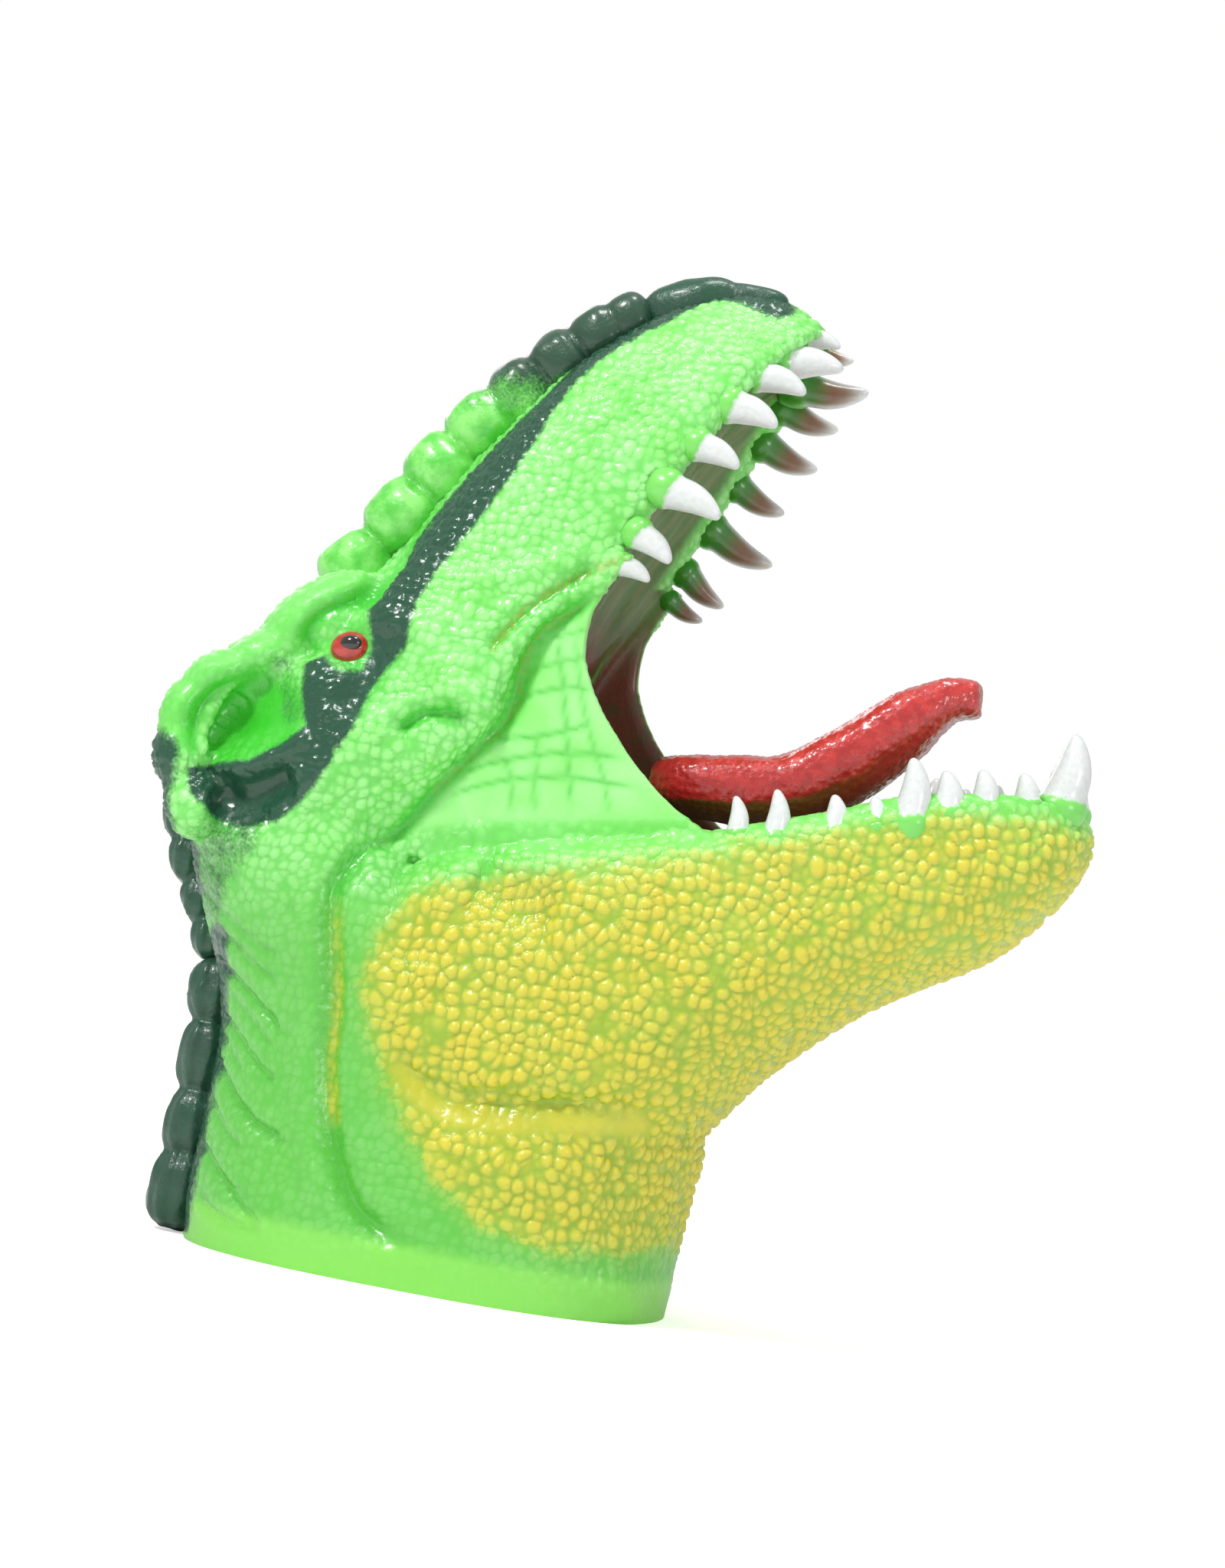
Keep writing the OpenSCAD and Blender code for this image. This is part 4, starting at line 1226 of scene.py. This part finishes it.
class PUPPET_OT_skin(bpy.types.Operator):
    """Models the rubber skin of the head, jaw and neck, and cuts it where the CAD's pieces meet."""
    bl_idname = "puppet.skin"
    bl_label = "Skin"

    def execute(self, context):
        skin = make_skin(context.scene.puppet_sizes)
        set_blends()
        mesh = skin.data
        normals = normals_of(mesh)
        label, right = label_faces(mesh)
        for i, (name, (nodes, slot, blend)) in enumerate(SKIN_PARTS.items()):
            for side, half in (("right", right), ("left", ~right)):
                faces = (label == i) & half
                if not faces.any():
                    continue
                piece = cut_piece(mesh, faces, normals, f"{name}_{side}", SKIN_LAYERS)
                nodes_here = [n for n in nodes if not n.endswith(("_left", "_right")) or n.endswith(side)]
                if name == "skull_skin":
                    nodes_here.append(f"brow_{side}")
                finish_piece(piece, slot, nodes_here, body="neck", blend=BLENDS[blend] if blend else None)
        bpy.data.objects.remove(skin)
        return {"FINISHED"}


# Rows of (inset from the band's outside, height) in millimetres: round the rim from its top outside,
# and up the hollow, where the rubber's wall is added to the inset.
RIM_ROWS = [(3.2, 8.4), (2.4, 7.6), (2.0, 6.4), (1.8, 4.5), (1.4, 1.4), (1.1, 0.5), (1.5, 0.05)]
HOLLOW_ROWS = [(0.2, 0.0), (1.0, 0.6), (1.1, 4), (1.3, 12), (2.5, 24), (4.5, 38), (7, 52), (10, 62), (18, 68)]


def inset_ring(inset, z):
    """A level ring that keeps a distance inside the cuff band's outline."""
    low, high = (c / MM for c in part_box("cuff_band"))
    ring = section((low[0], z, high[0], z, 0.5 * (high[1] - low[1]), 0), square=0.8, crown=0.8, sides=160)
    mid = ring.mean(0)
    out = ring - mid
    ring = mid + out * (1 - inset / np.linalg.norm(out[:, :2], axis=1))[:, None]
    ring[:, 2] = z
    return ring


class PUPPET_OT_cuff(bpy.types.Operator):
    """Models the smooth band round the cuff and the hollow that takes the hand."""
    bl_idname = "puppet.cuff"
    bl_label = "Cuff"

    def execute(self, context):
        wall = context.scene.puppet_sizes.wall
        inner = [(wall + inset, z) for inset, z in HOLLOW_ROWS]
        for name, rows, slot, node in (("cuff_rim", RIM_ROWS + inner[:2], "cuff_rubber", "cuff_band"),
                                       ("hand_hollow", inner[1:], "palate_rubber", "neck_shell")):
            rings = [inset_ring(inset, z) for inset, z in rows]
            n = len(rings[0])
            faces = wall_between(len(rings), n)
            if name == "hand_hollow":
                faces.append([(len(rings) - 1) * n + j for j in range(n)])
            obj = new_object(name, np.vstack(rings) * MM, faces)
            activate(obj)
            bpy.ops.object.shade_smooth()
            apply_modifier(obj, "SUBSURF", levels=1, render_levels=1)
            give_rest(obj.data)
            finish_piece(obj, slot, [node], body="neck")
        return {"FINISHED"}


class PUPPET_OT_scutes(bpy.types.Operator):
    """Models the raised scutes on the snout, the head and the nape."""
    bl_idname = "puppet.scutes"
    bl_label = "Scutes"

    def execute(self, context):
        for side, name in ((1, "left"), (-1, "right")):
            for kind, rows, shape, slot, node, moves in (
                    ("snout_scute_row", SNOUT_SCUTES, plain_lobe, "snout_scute", f"snout_scutes_{name}",
                     {"body": "upper_jaw"}),
                    ("snout_ridge", SNOUT_PLATES, plain_lobe, "dark_scute", f"snout_plate_{name}",
                     {"body": "upper_jaw"}),
                    ("nape_scute_row", NAPE_SCUTES, grooved_lobe, "dark_scute", f"nape_scutes_{name}",
                     {"body": "neck"}),
                    ("head_scute_row", HEAD_SCUTES, grooved_lobe, "dark_scute", "head_scutes",
                     {"blend": BLENDS["upper"]})):
                row = lobes_piece(f"{kind}_{name}", rows, side, shape)
                finish_piece(row, slot, [node], **moves)
        return {"FINISHED"}


class PUPPET_OT_teeth(bpy.types.Operator):
    """Models one round-tipped tooth and sets a copy of it at each place along both jaws."""
    bl_idname = "puppet.teeth"
    bl_label = "Teeth"

    def execute(self, context):
        source = unit_tooth("tooth_pattern")
        for jaw, teeth, body in (("upper", UPPER_TEETH, "upper_jaw"), ("lower", LOWER_TEETH, "lower_jaw")):
            for k, spec in enumerate(teeth, 1):
                for side, name in ((1, "left"), (-1, "right")):
                    obj = place_tooth(source, f"{jaw}_tooth_shape_{name}_{k}", spec, side, jaw == "upper")
                    finish_piece(obj, "tooth_white", [f"{jaw}_tooth_{name}_{k}"], body=body)
        bpy.data.objects.remove(source)
        return {"FINISHED"}


EYE_AT = (-31, 113)            # middle of the eye in XZ, in millimetres


class PUPPET_OT_eyes(bpy.types.Operator):
    """Models the glossy eyes and their pupils under the brows."""
    bl_idname = "puppet.eyes"
    bl_label = "Eyes"

    def execute(self, context):
        for side, name in ((1, "left"), (-1, "right")):
            skin = points_of(bpy.data.objects[f"skull_skin_{name}"].data) / MM
            close = np.hypot(skin[:, 0] - EYE_AT[0], skin[:, 2] - EYE_AT[1]) < 2.5
            level = np.max(np.abs(skin[close, 1]))
            for part, node, spec, slot in (
                    ("eyeball", "eye", (-31, level - 1.5, 112.9, 3.7, 3.0, 3.1, 20), "eye_red"),
                    ("pupil", "pupil", (-30.5, level + 0.5, 113.6, 2.15, 1.3, 1.55, 15), "pupil_black")):
                deselect()
                obj = lobe(f"{part}_shape_{name}", spec, side)
                put_points(obj.data, points_of(obj.data) * MM)
                smooth_piece(obj)
                finish_piece(obj, slot, [f"{node}_{name}"], body="upper_jaw")
        return {"FINISHED"}


class PUPPET_OT_tongue(bpy.types.Operator):
    """Models the tongue in two lengths, cut where it curls."""
    bl_idname = "puppet.tongue"
    bl_label = "Tongue"

    def execute(self, context):
        whole = make_tongue()
        root, end = split_tongue(whole)
        bpy.data.objects.remove(whole)
        joints = {j["name"]: j for j in frame["joints"]}
        at = Vector(joints["tongue_curl"]["pos_m"])
        start, stop = at + Vector(CURL_BACK), at + Vector(CURL_FRONT)
        finish_piece(root, "tongue_rubber", ["tongue_base"], body="tongue_root")
        finish_piece(end, "tongue_rubber", ["tongue_tip"], blend=("tongue_end", start, stop),
                     end="tongue_root")
        return {"FINISHED"}


# ---------------------------------------------------------------- floor, light and camera
LAMPS = [
    # name, place, size in metres, watts
    ("key", (-0.35, -0.55, 0.75), 0.14, 4.8), ("fill", (0.8, -0.6, 0.3), 0.25, 1.5),
    ("top", (0.1, -0.1, 1.0), 0.2, 2.8), ("rim", (-0.5, 0.8, 0.5), 0.4, 1.2)]
LAMP_AIM = (0.015, 0, 0.1)
CAMERA_AIM = (0.0156, 0, 0.0977)
CAMERA_TURN = (10.5, -2.5, 10)  # azimuth, elevation and roll in degrees
CAMERA_DISTANCE = 0.72
CAMERA_LENS = 87.3
AMBIENT = 0.56                 # the studio's light on the puppet; the camera sees a full white


def make_floor():
    bpy.ops.mesh.primitive_plane_add(size=60, location=(0, 0, 0))
    floor = bpy.context.object
    floor.name = "floor"
    material = bpy.data.materials.new("pale_floor")
    material.use_nodes = True
    g = Graph(material.node_tree)
    shader = material.node_tree.nodes["Principled BSDF"]
    where = g.node("ShaderNodeTexCoord").outputs["Object"]
    pale = g.mix(g.noise(where, 3.0), (0.93, 0.93, 0.93, 1), (0.96, 0.96, 0.96, 1))
    g.put(pale, shader.inputs["Base Color"])
    shader.inputs["Roughness"].default_value = 0.7
    shader.inputs["Emission Strength"].default_value = 1.0
    seen = g.node("ShaderNodeLightPath").outputs["Is Camera Ray"]
    g.put(g.mix(seen, (0, 0, 0, 1), (0.5, 0.5, 0.5, 1)), shader.inputs["Emission Color"])
    floor.data.materials.append(material)


def make_world(scene):
    world = bpy.data.worlds.new("studio")
    world.use_nodes = True
    g = Graph(world.node_tree)
    seen = g.node("ShaderNodeLightPath").outputs["Is Camera Ray"]
    background = world.node_tree.nodes["Background"]
    background.inputs["Color"].default_value = (1, 1, 1, 1)
    g.put(g.math("MULTIPLY_ADD", seen, 1 - AMBIENT, AMBIENT), background.inputs["Strength"])
    scene.world = world


def make_lamps():
    for name, place, size, power in LAMPS:
        lamp = bpy.data.lights.new(name, "AREA")
        lamp.size = size
        lamp.energy = power
        obj = bpy.data.objects.new(name, lamp)
        obj.location = place
        aim = Vector(LAMP_AIM) - obj.location
        obj.rotation_euler = aim.to_track_quat("-Z", "Y").to_euler()
        bpy.context.collection.objects.link(obj)


def make_camera(scene):
    azimuth, elevation, roll = (math.radians(a) for a in CAMERA_TURN)
    back = Vector((math.sin(azimuth) * math.cos(elevation), -math.cos(azimuth) * math.cos(elevation),
                   math.sin(elevation)))
    right = Vector((math.cos(azimuth), math.sin(azimuth), 0))
    up = back.cross(right)
    axes = (right * math.cos(roll) + up * math.sin(roll), up * math.cos(roll) - right * math.sin(roll), back)
    camera = bpy.data.cameras.new("camera")
    camera.lens = CAMERA_LENS
    camera.clip_start = 0.05
    camera.clip_end = 20
    obj = bpy.data.objects.new("camera", camera)
    place = Matrix.Translation(Vector(CAMERA_AIM) + back * CAMERA_DISTANCE)
    obj.matrix_world = place @ Matrix(axes).transposed().to_4x4()
    bpy.context.collection.objects.link(obj)
    scene.camera = obj


class PUPPET_OT_stage(bpy.types.Operator):
    """Sets a pale floor, soft studio lights and the camera."""
    bl_idname = "puppet.stage"
    bl_label = "Stage"

    def execute(self, context):
        deselect()
        make_floor()
        make_world(context.scene)
        make_lamps()
        make_camera(context.scene)
        context.scene.view_settings.view_transform = "Standard"
        return {"FINISHED"}


class PUPPET_PT_panel(bpy.types.Panel):
    """Lists the puppet's sizes, colours and steps."""
    bl_label = "Rubber puppet"
    bl_idname = "PUPPET_PT_panel"
    bl_space_type = "VIEW_3D"
    bl_region_type = "UI"
    bl_category = "Puppet"

    def draw(self, context):
        for group in (context.scene.puppet_sizes, context.scene.puppet_colours):
            for key in group.__annotations__:
                self.layout.prop(group, key)
        for step in STEPS:
            self.layout.operator(step.bl_idname)


STEPS = (PUPPET_OT_stage, PUPPET_OT_materials, PUPPET_OT_skin, PUPPET_OT_cuff, PUPPET_OT_scutes,
         PUPPET_OT_teeth, PUPPET_OT_eyes, PUPPET_OT_tongue)
CLASSES = (PuppetSizes, PuppetColours) + STEPS + (PUPPET_PT_panel,)


def register():
    for c in CLASSES:
        bpy.utils.register_class(c)
    bpy.types.Scene.puppet_sizes = bpy.props.PointerProperty(type=PuppetSizes)
    bpy.types.Scene.puppet_colours = bpy.props.PointerProperty(type=PuppetColours)


def unregister():
    del bpy.types.Scene.puppet_colours
    del bpy.types.Scene.puppet_sizes
    for c in reversed(CLASSES):
        bpy.utils.unregister_class(c)


def main():
    register()
    for step in STEPS:
        kind, name = step.bl_idname.split(".")
        getattr(getattr(bpy.ops, kind), name)()


if __name__ == "__main__":
    main()
